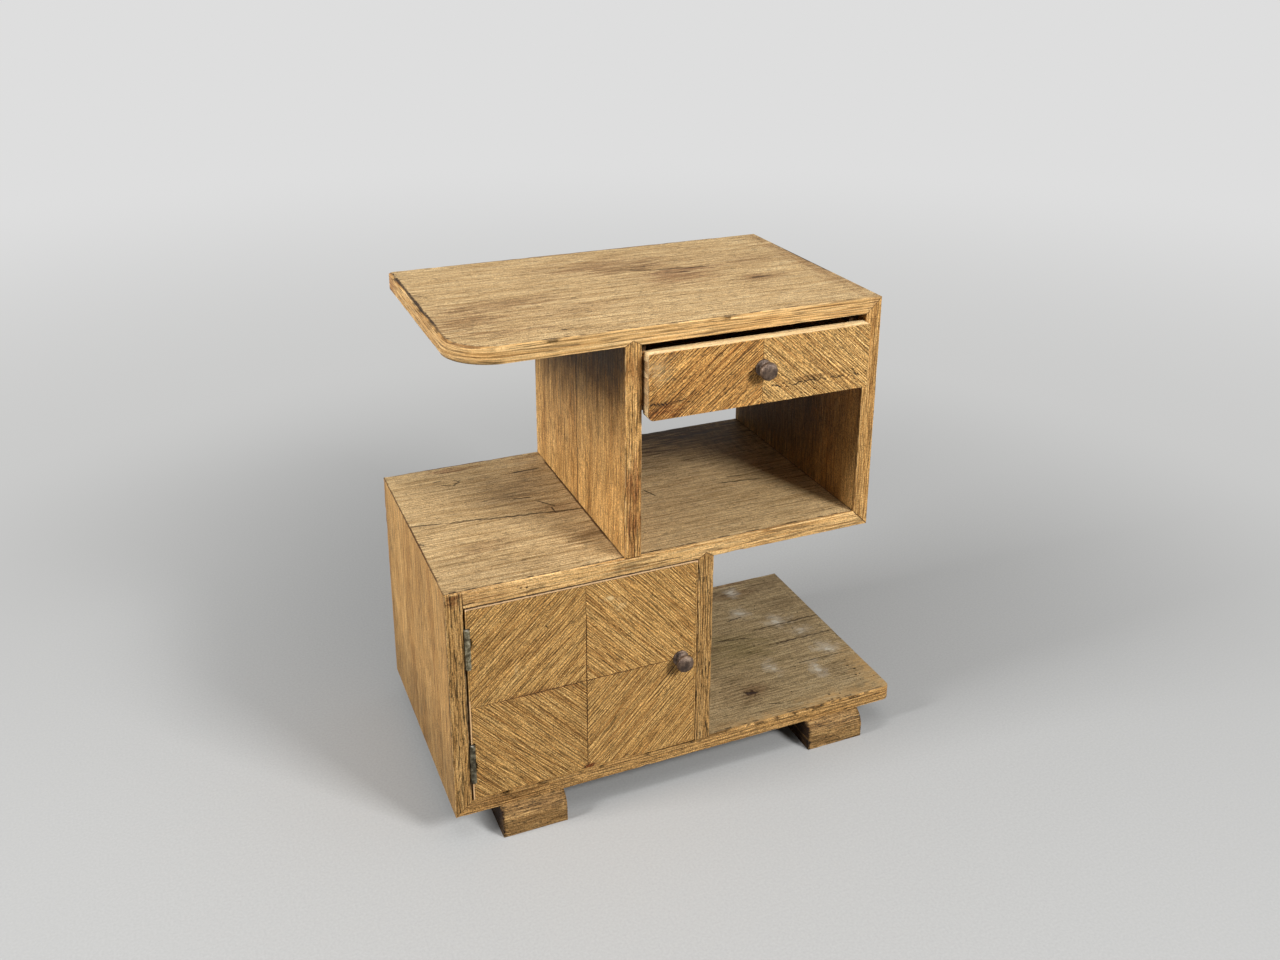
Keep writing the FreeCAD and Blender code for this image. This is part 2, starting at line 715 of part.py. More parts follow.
def make_catch():
    """The catch's barrel, spring and ball in the door, and the strike in the divider."""
    y = door_t / 2
    mouth = V(door_x1, y, leaf_line_z)
    barrel = Part.makeCylinder(catch_r, catch_l, mouth, -ALONG_X)
    bore = Part.makeCylinder(catch_bore_r, catch_bore_l + overrun, mouth + ALONG_X * overrun, -ALONG_X)
    parts["catch_barrel"] = cut(barrel, [bore])
    ball_x = door_x1 + ball_out - ball_r
    parts["catch_ball"] = Part.makeSphere(ball_r, V(ball_x, y, leaf_line_z))

    floor_x = door_x1 - catch_bore_l
    spring_l = ball_x - ball_r - floor_x
    rise = spring_l - 2 * spring_wire_r
    helix = Part.makeHelix(rise / spring_turns, rise, spring_coil_r)
    ring = Part.Wire(Part.makeCircle(spring_wire_r, V(spring_coil_r, 0, 0), ALONG_Y))
    coil = Part.Wire(helix.Edges).makePipeShell([ring], True, True)
    parts["catch_spring"] = aimed(coil, V(floor_x + spring_wire_r, y, leaf_line_z), ALONG_X)

    seat = strike_seat()
    plate = seat.common(box(cupboard_x1, cupboard_x1 + strike_t, -overrun, depth, base_z1, middle_z0))
    dimple = Part.makeCylinder(strike_hole_r, strike_t + 2 * overrun,
                               mouth - ALONG_X * overrun, ALONG_X)
    parts["strike_plate"] = cut(plate, [dimple])


# Door

def door_cuts():
    """What is let into the door: knuckle notches, hinge screws, catch and knob screw."""
    tools = []
    notch_x1 = hinge_x + knuckle_r + notch_clear
    notch_y1 = hinge_y + knuckle_r + notch_clear
    for z0 in hinge_levels.values():
        tools.append(box(door_x0 - overrun, notch_x1, -overrun, notch_y1,
                         z0 - notch_clear, z0 + hinge_h + pin_head_h + notch_clear))
    hole = screw_hole(hinge_screw_l, hinge_screw_r, hinge_screw_head_r)
    tools += [aimed(hole, p, ALONG_X) for p in hinge_screw_points(door_x0 - hinge_leaf_t)]
    tools.append(Part.makeCylinder(catch_r, catch_l, V(door_x1, door_t / 2, leaf_line_z), -ALONG_X))
    tools.append(knob_screw_hole(V(door_knob_x, 0, leaf_line_z)))
    return tools


def make_door():
    """A cored door: edge strips, a back veneer and four matched leaves on its face."""
    tools = door_cuts()
    x0 = door_x0 + edge_strip_t
    x1 = door_x1 - edge_strip_t
    z0 = door_z0 + edge_strip_t
    z1 = door_z1 - edge_strip_t
    outer = [(door_x0, door_z0), (door_x1, door_z0), (door_x1, door_z1), (door_x0, door_z1)]
    inner = [(x0, z0), (x1, z0), (x1, z1), (x0, z1)]
    strips = []
    for i in range(4):
        j = (i + 1) % 4
        strip = slab_xz([outer[i], outer[j], inner[j], inner[i]], 0, door_t)
        strips.append(cut(strip, near(strip, tools)))
    parts["door_edge_strips"] = group(strips)

    core = box(x0, x1, veneer_t, door_t - veneer_t, z0, z1)
    parts["door_core"] = cut(core, near(core, tools))
    back = box(x0, x1, door_t - veneer_t, door_t, z0, z1)
    parts["door_back_veneer"] = cut(back, near(back, tools))
    columns = (("left", x0, leaf_line_x), ("right", leaf_line_x, x1))
    rows = (("upper", leaf_line_z, z1), ("lower", z0, leaf_line_z))
    for row, low, high in rows:
        for column, left, right in columns:
            leaf = box(left, right, 0, veneer_t, low, high)
            parts["door_veneer_" + row + "_" + column] = cut(leaf, near(leaf, tools))

    knob_place = V(door_knob_x, 0, leaf_line_z)
    parts["door_knob"] = knob(knob_place)
    parts["door_knob_screw"] = knob_screw(knob_place, door_t)


def make_door_stop():
    """A strip on the divider that the door shuts against."""
    y0 = door_t + door_stop_gap
    parts["door_stop_strip"] = box(cupboard_x1 - door_stop_w, cupboard_x1, y0, y0 + door_stop_t,
                                   base_z1 + door_stop_short, middle_z0 - door_stop_short)


make_carcass()
make_feet()
make_backs()
make_carcass_fasteners()
make_runners()
make_drawer()
make_hinges()
make_catch()
make_door()
make_door_stop()

# The row's origin is the middle of the footprint, from the drawer's knob to the back.
front_reach = drawer_pull + knob_reach
to_footprint_middle = V(-width / 2, (front_reach - depth) / 2, 0)

os.makedirs("parts", exist_ok=True)
for name, shape in parts.items():
    shape.translate(to_footprint_middle)
    group([shape]).exportStep("parts/" + name + ".step")
    print(name, len(shape.Solids), round(shape.Volume), shape.isValid())
print(len(parts), "nodes")
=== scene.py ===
import json
import math
import random

import bmesh
import bpy
from mathutils import Matrix, Vector, noise
from mathutils.bvhtree import BVHTree

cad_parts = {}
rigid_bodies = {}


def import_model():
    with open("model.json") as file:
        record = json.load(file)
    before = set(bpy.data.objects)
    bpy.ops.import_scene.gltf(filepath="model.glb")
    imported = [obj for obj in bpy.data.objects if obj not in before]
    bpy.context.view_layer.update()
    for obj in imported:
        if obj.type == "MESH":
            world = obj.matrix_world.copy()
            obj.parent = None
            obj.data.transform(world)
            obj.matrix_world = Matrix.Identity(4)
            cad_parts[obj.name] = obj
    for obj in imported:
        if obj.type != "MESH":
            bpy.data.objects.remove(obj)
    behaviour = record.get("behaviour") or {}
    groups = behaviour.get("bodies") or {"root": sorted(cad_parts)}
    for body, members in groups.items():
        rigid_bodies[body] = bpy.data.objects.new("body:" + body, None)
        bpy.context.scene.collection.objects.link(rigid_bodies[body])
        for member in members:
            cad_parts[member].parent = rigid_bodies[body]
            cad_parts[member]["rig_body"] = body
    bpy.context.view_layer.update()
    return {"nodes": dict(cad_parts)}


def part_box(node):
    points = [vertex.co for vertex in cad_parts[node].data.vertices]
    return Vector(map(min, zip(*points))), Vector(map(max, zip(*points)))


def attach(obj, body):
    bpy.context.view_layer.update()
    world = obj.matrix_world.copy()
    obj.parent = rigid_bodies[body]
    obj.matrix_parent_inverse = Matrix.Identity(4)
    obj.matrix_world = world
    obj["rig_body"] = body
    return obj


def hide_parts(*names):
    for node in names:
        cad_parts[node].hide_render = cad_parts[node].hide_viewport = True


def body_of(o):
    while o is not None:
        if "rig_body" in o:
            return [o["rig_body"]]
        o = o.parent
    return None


# The looks of a stepped bedside cabinet in worn, open-grained oak: each wooden piece gets
# eased and bruised arrises and its own oak, and the knobs are turned afresh. Lengths are in
# metres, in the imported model's own frame. Colours are written as they look, 0 to 255.

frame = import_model()

NODES = frame["nodes"]

# Where the cabinet's own corner lies: its left side, its front arris and the floor
LEFT = -0.300
FRONT = -0.1455
MM = 0.001

# Camera, in a frame that is PHOTO_W wide
PHOTO_W = 1280
FOCAL = 1209.1
SENSOR_W = 36.0
AXIS_RISE = 151.3
CAMERA_X = -254.9
CAMERA_Y = -1143.7
CAMERA_Z = 1032.3
CAMERA_YAW = 0.4016
CAMERA_DIP = 0.3277
CAMERA_ROLL = 0.0039

FLOOR_REACH = 30.0


def at(x, y, z):
    """A place given in millimetres from the cabinet's left side, front arris and floor."""
    return Vector((LEFT + x * MM, FRONT + y * MM, z * MM))


def paint(red, green, blue):
    """A colour as it looks, 0 to 255, turned into the light that a shader works with."""
    def linear(level):
        share = level / 255
        return share / 12.92 if share <= 0.04045 else ((share + 0.055) / 1.055) ** 2.4
    return (linear(red), linear(green), linear(blue), 1.0)


def metres(size, share=1.0):
    """A size given in millimetres."""
    return tuple(length * share * MM for length in size)


# Shaders, written as sums on sockets

class Socket:
    """An output in a shader that takes part in sums."""

    def __init__(self, finish, output):
        self.finish = finish
        self.output = output

    def math(self, operation, *terms):
        return self.finish.add("ShaderNodeMath", {"operation": operation}, terms)

    def __add__(self, other):
        return self.math("ADD", self, other)

    def __sub__(self, other):
        return self.math("SUBTRACT", self, other)

    def __rsub__(self, other):
        return self.math("SUBTRACT", other, self)

    def __mul__(self, other):
        return self.math("MULTIPLY", self, other)

    def __truediv__(self, other):
        return self.math("DIVIDE", self, other)

    def __or__(self, other):
        return self.math("MAXIMUM", self, other)

    def __and__(self, other):
        return self.math("MINIMUM", self, other)

    __radd__ = __add__
    __rmul__ = __mul__

    def ramp(self, low, high):
        """0 below low, 1 above high and a smooth rise between; low may be the larger."""
        settings = {"interpolation_type": "SMOOTHSTEP"}
        if low > high:
            return 1 - self.ramp(high, low)
        return self.finish.add("ShaderNodeMapRange", settings, (self, low, high, 0.0, 1.0))


class Shading:
    """The nodes of a material or a world, with the calls that build them."""

    def __init__(self, owner):
        owner.use_nodes = True
        self.tree = owner.node_tree

    def add(self, kind, settings, inputs, result=0):
        """One node: its settings first, then its inputs by order or by name; gives one output."""
        node = self.tree.nodes.new(kind)
        for name, value in settings.items():
            if name == "stops":
                for i, (share, colour) in enumerate(value):
                    stops = node.color_ramp.elements
                    stop = stops[i] if i < 2 else stops.new(share)
                    stop.position = share
                    stop.color = colour
            else:
                setattr(node, name, value)
        pairs = inputs.items() if isinstance(inputs, dict) else enumerate(inputs)
        sockets = [socket for socket in node.inputs if socket.enabled]
        for key, value in pairs:
            socket = node.inputs[key] if isinstance(key, str) else sockets[key]
            if isinstance(value, Socket):
                self.tree.links.new(value.output, socket)
            else:
                socket.default_value = value
        if isinstance(result, str):
            return Socket(self, node.outputs[result])
        return Socket(self, [output for output in node.outputs if output.enabled][result])

    def looked_at(self):
        """1 for the eye and for what mirrors or glass show of it, 0 for light that is thrown."""
        eye, mirror, glass = (self.add("ShaderNodeLightPath", {}, (), "Is %s Ray" % way)
                              for way in ("Camera", "Glossy", "Transmission"))
        return eye | mirror | glass

    def shown(self, surface, target):
        """Sends a surface to the node that shows it."""
        self.tree.links.new(surface.output, self.tree.nodes[target].inputs["Surface"])


class Finish(Shading):
    """A material, with the calls that build its shader."""

    def __init__(self, name):
        self.material = bpy.data.materials.new(name)
        super().__init__(self.material)
        self.shader = self.tree.nodes["Principled BSDF"]
        self.place = self.add("ShaderNodeTexCoord", {}, (), "Object")

    def vector(self, operation, *terms):
        return self.add("ShaderNodeVectorMath", {"operation": operation}, terms)

    def joined(self, x, y, z):
        return self.add("ShaderNodeCombineXYZ", {}, (x, y, z))

    def noise(self, place, scale, detail=2.0, rough=0.5):
        return self.add("ShaderNodeTexNoise", {}, {"Vector": place, "Scale": scale, "Detail": detail,
                                                   "Roughness": rough}, "Fac")

    def mix(self, share, start, end, blend="MIX"):
        """A colour between two others."""
        settings = {"data_type": "RGBA", "blend_type": blend, "clamp_factor": True}
        return self.add("ShaderNodeMix", settings, (share, start, end))

    def tones(self, value, places, tones):
        """A colour read off a scale of tones, dark to light, that stand at given values."""
        stops = [(place, paint(*tone)) for place, tone in zip(places, tones)]
        return self.add("ShaderNodeValToRGB", {"stops": stops}, (value,))

    def noted(self, name):
        """A number noted on the mesh itself, such as how far down a crack a place lies."""
        return self.add("ShaderNodeAttribute", {"attribute_name": name}, (), "Fac")

    def blot(self, centre, size, solid, ragged, grit):
        """1 inside a ragged oval blot and 0 outside; grit gives the raggedness along x, y and z."""
        stray = self.noise(self.vector("MULTIPLY", self.place, grit), 1.0, 3.0) * 2.0 - 1.0
        away = self.vector("DIVIDE", self.vector("SUBTRACT", self.place, centre), size)
        reach = self.add("ShaderNodeVectorMath", {"operation": "LENGTH"}, (away,))
        return (reach + stray * ragged).ramp(1.0, solid)

    def finished(self, colour, rough, height=None, relief=0.0, **steady):
        """Sets the shader's sockets. Steady numbers are the same all over the surface."""
        for name, value in {"Base Color": colour, "Roughness": rough}.items():
            if isinstance(value, Socket):
                self.tree.links.new(value.output, self.shader.inputs[name])
            else:
                self.shader.inputs[name].default_value = value
        for name, value in steady.items():
            self.shader.inputs[name.replace("_", " ")].default_value = value
        if height is not None:
            sockets = {"Height": height, "Distance": relief, "Strength": 1.0}
            bump = self.add("ShaderNodeBump", {}, sockets, "Normal")
            self.tree.links.new(bump.output, self.shader.inputs["Normal"])
        return self.material


# Oak

ACROSS_BOARD = ((1, 0, 0), (0, 1, 0), (0, 0, 1))
UPRIGHT_BOARD = ((0, 0, 1), (0, 1, 0), (1, 0, 0))
BACKWARD_BOARD = ((0, 1, 0), (1, 0, 0), (0, 0, 1))
UPRIGHT_STRIP = ((0, 0, 1), (1, 0, 0), (0, 1, 0))
ROUND_THE_EDGE = ((1, -1, 0), (0, 0, 1), (0, 0, 0))


def slanting(degrees):
    """Grain in the front's own plane, rising to the right by an angle."""
    turn = math.radians(degrees)
    return ((math.cos(turn), 0, math.sin(turn)), (-math.sin(turn), 0, math.cos(turn)), (0, 1, 0))


# How often the oak's details come, per metre
GRIT_FREQ = 620.0
HOLE_FREQ = 85.0
CROWD_FREQ = 22.0
SPOT_FREQ = 130.0

# How long and how wide the grain's wandering and its broad patches are, and how long a furrow
# runs unbroken
SWAY_SIZE = (0.12, 0.03)
PATCH_SIZE = (0.25, 0.06)
FURROW_RUN = 0.030

# Where the three tones of a scale stand, and where the oak's details begin and end
TONE_PLACES = (0.34, 0.50, 0.66)
PORE_RISE = (0.56, 0.66)
FURROW_RISE = (0.25, 0.95)
CREST_RISE = (-0.25, -0.95)
FURROW_LEFT = (0.38, 0.58)
CREST_LEFT = (0.60, 0.42)
HOLE_RISE = (0.13, 0.08)
CROWD_RISE = (0.50, 0.56)
BARE_RISE = (0.44, 0.56)
SOILED_RISE = (0.44, 0.34)
STRAY_TURNS = 4.0
JOINT_DEPTH = 0.7
WOOD_SHINE = 0.16

# How a blot fades: the share of its reach that is solid, and how ragged its edge is
STAIN_EDGE = (0.0, 1.2)
LINE_EDGE = (0.3, 0.6)
# How the painted shade on upright boards fades
SHADE_EDGE = (0.4, 0.3)
HAZE_EDGE = (0.0, 1.0)
CORE_EDGE = (0.0, 2.4)
THIN_LINE = 3
LENGTHWISE = 34.0
CROSSWISE = 240.0
HAZE_GRIT = (70.0, 110.0, 110.0)
CORE_GRIT = (90.0, 200.0, 200.0)
HAZE_DEPTH = 0.38
CORE_DEPTH = 0.8
CORE_SHARE = 0.4

# Dirt, bare wood, damage and painted shade
# The black of cracks, also painted shade down the edge of the door's gap
CRACK_AND_GAP_SHADE = (40, 26, 16)
JOINT_DIRT = (66, 44, 26)
PAINT_SCUFF = (206, 200, 186)
BARE_ARRIS = (232, 196, 142)
SOILED_ARRIS = (116, 78, 42)
PINK_RIM = (236, 196, 150)
GREY_BROWN = (150, 116, 86)
RED_BROWN = (150, 92, 66)
DEEP_BROWN = (104, 72, 52)
# A brown for stains, and for the painted shade on the ledge and at the back of the niche floor
GREEN_GREY = (196, 200, 170)
DIRT_AND_SHADE_BROWN = (140, 124, 108)
# The grey of the painted shade on upright boards
SHADE_GREY = (120, 123, 130)
# Dark end grain, which on the feet's left ends also stands for painted shade
END_GRAIN_AND_SHADE = (70, 50, 38)
WORN_OAK = (176, 140, 90)
TAN = (226, 198, 146)

# The door's strips, in millimetres: how far in their left rim is bare and from what height
# up, where their top rim begins and where its dark edge does
RIM_LEFT = 23.4
RIM_FOOT = 185
RIM_TOP = 306.4
RIM_EDGE = 309.0

# How softly these begin, and how strong they are
RIM_BLUR = 0.0005
EDGE_BLUR = 0.0004
FOOT_BLUR = 0.01
LEFT_RIM_SHARE = 0.8
RIM_SHARE = 0.85


def oak(name, grain, tones, seed=0.0, marks=None, bands=(0.22, 0.014, 0.20), ridges=(0.05, 0.0011),
        comb=(0.0040, 0.35, 0.15), pores=(0.006, 0.0010, 0.30), patches=0.08, relief=0.0004,
        rough=0.60, wear=0.6, wave=0.002, straight=0.25, grit=0.30, holes=0.0):
    """Open-grained oak. Grain gives the directions along the fibres, across them and through.
    Bands, ridges and pores give a length and a width; bands and pores then how much they count,
    and comb the spacing of the furrows, how dark they are and how light the crests between.
    Wave says how far the grain wanders, and straight over what length the furrows do; grit is
    how uneven the wood is at its finest, and holes how dark its worm holes are."""
    finish = Finish(name)
    along, across, through = (finish.vector("DOT_PRODUCT", finish.place, direction)
                              for direction in grain)
    length, width = SWAY_SIZE
    sway = finish.noise(finish.joined(along / length + seed, across / width, through / width), 1.0)
    swayed = across + sway * wave

    def streaks(length, width, shift, detail=2.0, rough=0.5):
        """Uneven streaks along the fibres; shift keeps one kind apart from the next."""
        place = finish.joined(along / length + (seed + shift), swayed / width + (seed + shift),
                              through / width)
        return finish.noise(place, 1.0, detail, rough)

    patch = streaks(*PATCH_SIZE, 1.7)
    band = streaks(bands[0], bands[1], 5.1)
    ridge = streaks(ridges[0], ridges[1], 9.3, 2.0, 0.6)
    pore = streaks(pores[0], pores[1], 17.3, 1.0).ramp(*PORE_RISE)
    stray = streaks(straight, 4 * comb[0], 13.9)
    phase = (swayed / comb[0] + stray * STRAY_TURNS) * (2 * math.pi)
    wave_form = phase.math("SINE", phase)
    broken = streaks(FURROW_RUN, comb[0], 21.1, 1.0)
    furrow = wave_form.ramp(*FURROW_RISE) * broken.ramp(*FURROW_LEFT)
    crest = wave_form.ramp(*CREST_RISE) * broken.ramp(*CREST_LEFT)
    value = band * bands[2] + ridge * (1 - bands[2])
    colour = finish.tones(value, TONE_PLACES, tones)
    shade = (patch - 0.5) * (4 * patches) + 1.0
    shade = shade * (1 - furrow * comb[1]) * (1 - pore * pores[2]) * (crest * comb[2] + 1.0)
    grains = finish.noise(finish.place, GRIT_FREQ, 2.0, 0.7)
    shade = shade * ((grains - 0.5) * (4 * grit) + 1.0)
    colour = finish.mix(1.0, colour, finish.joined(shade, shade, shade), "MULTIPLY")
    if marks:
        colour = marks(finish, colour)
    if holes:
        sockets = {"Vector": finish.place, "Scale": HOLE_FREQ}
        near = finish.add("ShaderNodeTexVoronoi", {}, sockets, "Distance")
        crowd = finish.noise(finish.place, CROWD_FREQ, 1.0).ramp(*CROWD_RISE)
        colour = finish.mix(near.ramp(*HOLE_RISE) * crowd * holes, colour, paint(*CRACK_AND_GAP_SHADE))
    spots = finish.noise(finish.place, SPOT_FREQ, 3.0, 0.6)
    arris = finish.noted("arris") * (1 - finish.noted("joint"))
    colour = finish.mix(arris * spots.ramp(*BARE_RISE) * wear, colour, paint(*BARE_ARRIS))
    colour = finish.mix(arris * spots.ramp(*SOILED_RISE) * wear, colour, paint(*SOILED_ARRIS))
    colour = finish.mix(finish.noted("joint") * JOINT_DEPTH, colour, paint(*JOINT_DIRT))
    colour = finish.mix(finish.noted("cut"), colour, paint(*CRACK_AND_GAP_SHADE))
    height = ridge * 0.5 + crest * 0.4 - furrow * 0.5 - pore * 0.15
    return finish.finished(colour, ridge * -0.2 + (rough + 0.1), height, relief,
                           Specular_IOR_Level=WOOD_SHINE)


def marked(blots=(), scuffs=()):
    """Stains and painted shade drawn out along their own length, then pale scuffs, in millimetres.
    The thinnest blots are lines, with firmer edges."""
    def marks(finish, colour):
        for place, size, tint, share in blots:
            long = size.index(max(size))
            grit = tuple(LENGTHWISE if axis == long else CROSSWISE for axis in range(3))
            edge = LINE_EDGE if min(size) < THIN_LINE else STAIN_EDGE
            mask = finish.blot(at(*place), metres(size), *edge, grit)
            colour = finish.mix(mask * share, colour, paint(*tint), "MULTIPLY")
        for place, size, tint, share in scuffs:
            haze = finish.blot(at(*place), metres(size), *HAZE_EDGE, HAZE_GRIT)
            core = finish.blot(at(*place), metres(size, CORE_SHARE), *CORE_EDGE, CORE_GRIT)
            pale = (haze * HAZE_DEPTH | core * CORE_DEPTH) * share
            colour = finish.mix(pale, colour, paint(*tint))
        return colour
    return marks


def painted_shades(shades):
    """Broad soft-edged painted shade, drawn out up and down an upright board's fibres."""
    def marks(finish, colour):
        for place, size, share in shades:
            mask = finish.blot(at(*place), metres(size), *SHADE_EDGE, (CROSSWISE, CROSSWISE, LENGTHWISE))
            colour = finish.mix(mask * share, colour, paint(*SHADE_GREY), "MULTIPLY")
        return colour
    return marks


def bare_rim(finish, colour):
    """The door's strips, bare along the top and the left edge only."""
    x = finish.vector("DOT_PRODUCT", finish.place, (1, 0, 0))
    z = finish.vector("DOT_PRODUCT", finish.place, (0, 0, 1))
    corner = at(RIM_LEFT, 0, RIM_TOP)
    low = at(0, 0, RIM_FOOT)
    left = x.ramp(corner.x + RIM_BLUR, corner.x) * z.ramp(low.z + FOOT_BLUR, low.z)
    bare = left * LEFT_RIM_SHARE | z.ramp(corner.z, corner.z + RIM_BLUR)
    colour = finish.mix(bare * RIM_SHARE, colour, paint(*PINK_RIM))
    edge = at(0, 0, RIM_EDGE)
    dark = z.ramp(edge.z, edge.z + EDGE_BLUR)
    return finish.mix(dark * RIM_SHARE, colour, paint(*CRACK_AND_GAP_SHADE))


TOP_TONES = (130, 101, 63), (177, 147, 103), (199, 173, 130)
BAND_TONES = (158, 114, 60), (206, 164, 105), (230, 193, 136)
LEDGE_TONES = (136, 107, 67), (182, 153, 109), (202, 175, 131)
MIDDLE_BAND_TONES = (162, 116, 63), (211, 169, 109), (236, 199, 141)
SIDE_TONES = (140, 97, 49), (182, 139, 82), (202, 160, 101)
SHELF_TONES = (106, 88, 60), (153, 131, 95), (176, 156, 119)
LIPPING_TONES = (123, 82, 40), (184, 139, 80), (220, 177, 115)
DULL_LIPPING_TONES = (122, 86, 44), (178, 136, 80), (212, 170, 110)
FOOT_TONES = (94, 68, 36), (137, 104, 62), (168, 135, 86)
DOOR_TONES = (148, 103, 53), (186, 142, 81), (215, 173, 109)
DRAWER_LEFT_TONES = (135, 88, 42), (184, 134, 72), (214, 167, 100)
DRAWER_RIGHT_TONES = (149, 104, 54), (192, 149, 88), (221, 181, 118)
BARE_TONES = (206, 168, 114), (226, 194, 142), (238, 210, 166)
BOX_TONES = (160, 120, 76), (196, 158, 110), (214, 178, 132)
RUNNER_TONES = (64, 46, 30), (92, 68, 44), (116, 90, 62)
PLY_TONES = (170, 134, 92), (206, 172, 126), (222, 190, 148)

# Stains, painted shade and scuffs: the middle, how far they reach each way, the colour, which
# the painted shade on upright boards leaves out, and the strength; lengths in millimetres
TOP_BLOTS = (
    ((284, 250, 610), (120, 40, 20), GREY_BROWN, 0.60),
    ((300, 225, 610), (60, 26, 20), GREY_BROWN, 0.50),
    ((357, 171, 610), (68, 44, 20), RED_BROWN, 0.52),
    ((376, 192, 610), (60, 14, 20), RED_BROWN, 0.45),
    ((345, 224, 610), (60, 26, 20), GREY_BROWN, 0.40),
    ((538, 150, 610), (26, 300, 20), GREY_BROWN, 0.50),
    ((448, 128, 610), (50, 20, 20), GREY_BROWN, 0.60),
    ((470, 205, 610), (70, 26, 20), GREY_BROWN, 0.40),
    ((110, 140, 610), (120, 30, 20), GREY_BROWN, 0.50),
    ((55, 95, 610), (70, 50, 20), GREY_BROWN, 0.55),
    ((90, 45, 610), (70, 20, 20), GREY_BROWN, 0.45),
    ((180, 90, 610), (90, 30, 20), GREY_BROWN, 0.25),
    ((541, 180, 610), (2.6, 130, 6), CRACK_AND_GAP_SHADE, 0.85),
    ((27.6, 185, 610), (2.0, 190, 3.0), CRACK_AND_GAP_SHADE, 0.85),
    ((300, 321, 610), (260, 2.6, 6), DEEP_BROWN, 0.80),
)
# The first three blots are painted shade on the ledge under the top, and the three at y 300 to 330 are
# painted shade at the back of the niche floor under the drawer; the fourth darkens the ledge's front
# strip.
LEDGE_BLOTS = (
    ((150, 215, 331), (90, 70, 20), DIRT_AND_SHADE_BROWN, 0.29),
    ((190, 240, 331), (70, 70, 20), DIRT_AND_SHADE_BROWN, 0.22),
    ((130, 205, 331), (50, 26, 20), DIRT_AND_SHADE_BROWN, 0.22),
    ((60, 25, 331), (190, 80, 20), DIRT_AND_SHADE_BROWN, 0.30),
    ((196, 72, 331), (46, 24, 20), DEEP_BROWN, 0.50),
    ((190, 150, 331), (46, 30, 20), GREY_BROWN, 0.45),
    ((70, 90, 331), (60, 20, 20), GREY_BROWN, 0.35),
    ((80, 310, 331), (50, 10, 20), RED_BROWN, 0.60),
    ((380, 310, 331), (190, 120, 20), DIRT_AND_SHADE_BROWN, 0.85),
    ((400, 330, 331), (220, 70, 20), DIRT_AND_SHADE_BROWN, 0.80),
    ((490, 300, 331), (90, 110, 20), DIRT_AND_SHADE_BROWN, 0.60),
    ((213, 160, 331), (2.9, 260, 8), DEEP_BROWN, 0.90),
    ((0, 160, 331), (2.9, 260, 5), DEEP_BROWN, 0.97),
    ((100, 321, 331), (130, 2.6, 6), DEEP_BROWN, 0.80),
)
SHELF_BLOTS = (
    ((506, 290, 53), (90, 18, 20), GREY_BROWN, 0.60),
    ((470, 300, 53), (40, 12, 20), DEEP_BROWN, 0.60),
    ((500, 318, 53), (70, 5, 20), RED_BROWN, 0.60),
    ((575, 230, 53), (110, 190, 20), DIRT_AND_SHADE_BROWN, 0.32),
    ((570, 305, 53), (80, 30, 20), DIRT_AND_SHADE_BROWN, 0.35),
    ((419, 60, 53), (12, 9, 20), DEEP_BROWN, 0.95),
    ((419, 60, 53), (40, 30, 20), GREY_BROWN, 0.60),
    ((560, 60, 53), (60, 40, 20), GREY_BROWN, 0.18),
    ((450, 160, 53), (80, 60, 20), GREEN_GREY, 0.60),
)
SHELF_SCUFFS = (
    ((400, 4, 53), (130, 20, 12), WORN_OAK, 0.8),
    ((520, 6, 53), (110, 34, 12), WORN_OAK, 0.9),
    ((594, 50, 53), (40, 110, 12), WORN_OAK, 0.8),
    ((510, 297, 53), (18, 20, 12), PAINT_SCUFF, 0.70),
    ((493, 239, 53), (22, 20, 12), PAINT_SCUFF, 0.65),
    ((536, 202, 53), (28, 20, 12), PAINT_SCUFF, 0.70),
    ((557, 166, 53), (24, 18, 12), PAINT_SCUFF, 0.45),
    ((568, 114, 53), (26, 22, 12), PAINT_SCUFF, 0.85),
    ((473, 101, 53), (16, 28, 12), PAINT_SCUFF, 0.60),
    ((530, 73, 53), (15, 32, 12), PAINT_SCUFF, 0.65),
)
# The first blot is a black line of painted shade down the strip's edge, beside the door's gap; the
# second is a stain.
STRIP_STAIN_AND_GAP_SHADE = (
    ((20.8, 0, 180), (2.8, 12, 160), CRACK_AND_GAP_SHADE, 0.97),
    ((9, -1, 323), (14, 12, 9), RED_BROWN, 0.7),
)
# Painted shade on the upright boards: under the top on the upper divider's left face, and inside the
# niche on the right side's wall; on the left side the board grows darker towards the bottom.
SIDE_PAINTED_SHADE = {
    "left_side": (((0, 160, 0), (9, 900, 170), 0.40),),
    "upper_divider": (
        ((213.5, 260, 620), (9, 300, 220), 0.90),
        ((213.5, 70, 590), (9, 110, 75), 0.90),
        ((213.5, 190, 465), (9, 240, 100), 0.22),
    ),
    "right_side": (((521.5, 230, 430), (6, 230, 150), 0.92),),
    "lower_divider": (),
}
# The feet's ends are dark end grain; on their left ends, under the base, the darkness also stands for
# painted shade.
FOOT_BLOTS = (
    ((53, 20, 20), (5, 200, 120), END_GRAIN_AND_SHADE, 0.97),
    ((467, 20, 20), (5, 200, 120), END_GRAIN_AND_SHADE, 0.97),
    ((133, 20, 20), (5, 60, 40), END_GRAIN_AND_SHADE, 0.60),
    ((547, 20, 20), (5, 60, 40), END_GRAIN_AND_SHADE, 0.60),
)
BAND_BLOTS = (
    ((26.6, 190, 610), (2.0, 200, 3.0), CRACK_AND_GAP_SHADE, 0.90),
    ((40, 17, 610), (26, 26, 2.4), DEEP_BROWN, 0.60),
    ((23, 305, 600), (12, 50, 30), RED_BROWN, 0.50),
    ((23, 160, 600), (12, 300, 40), GREY_BROWN, 0.28),
    ((30, 20, 596), (50, 50, 20), GREY_BROWN, 0.22),
    ((534, 0, 603), (14, 20, 14), GREY_BROWN, 0.45),
)
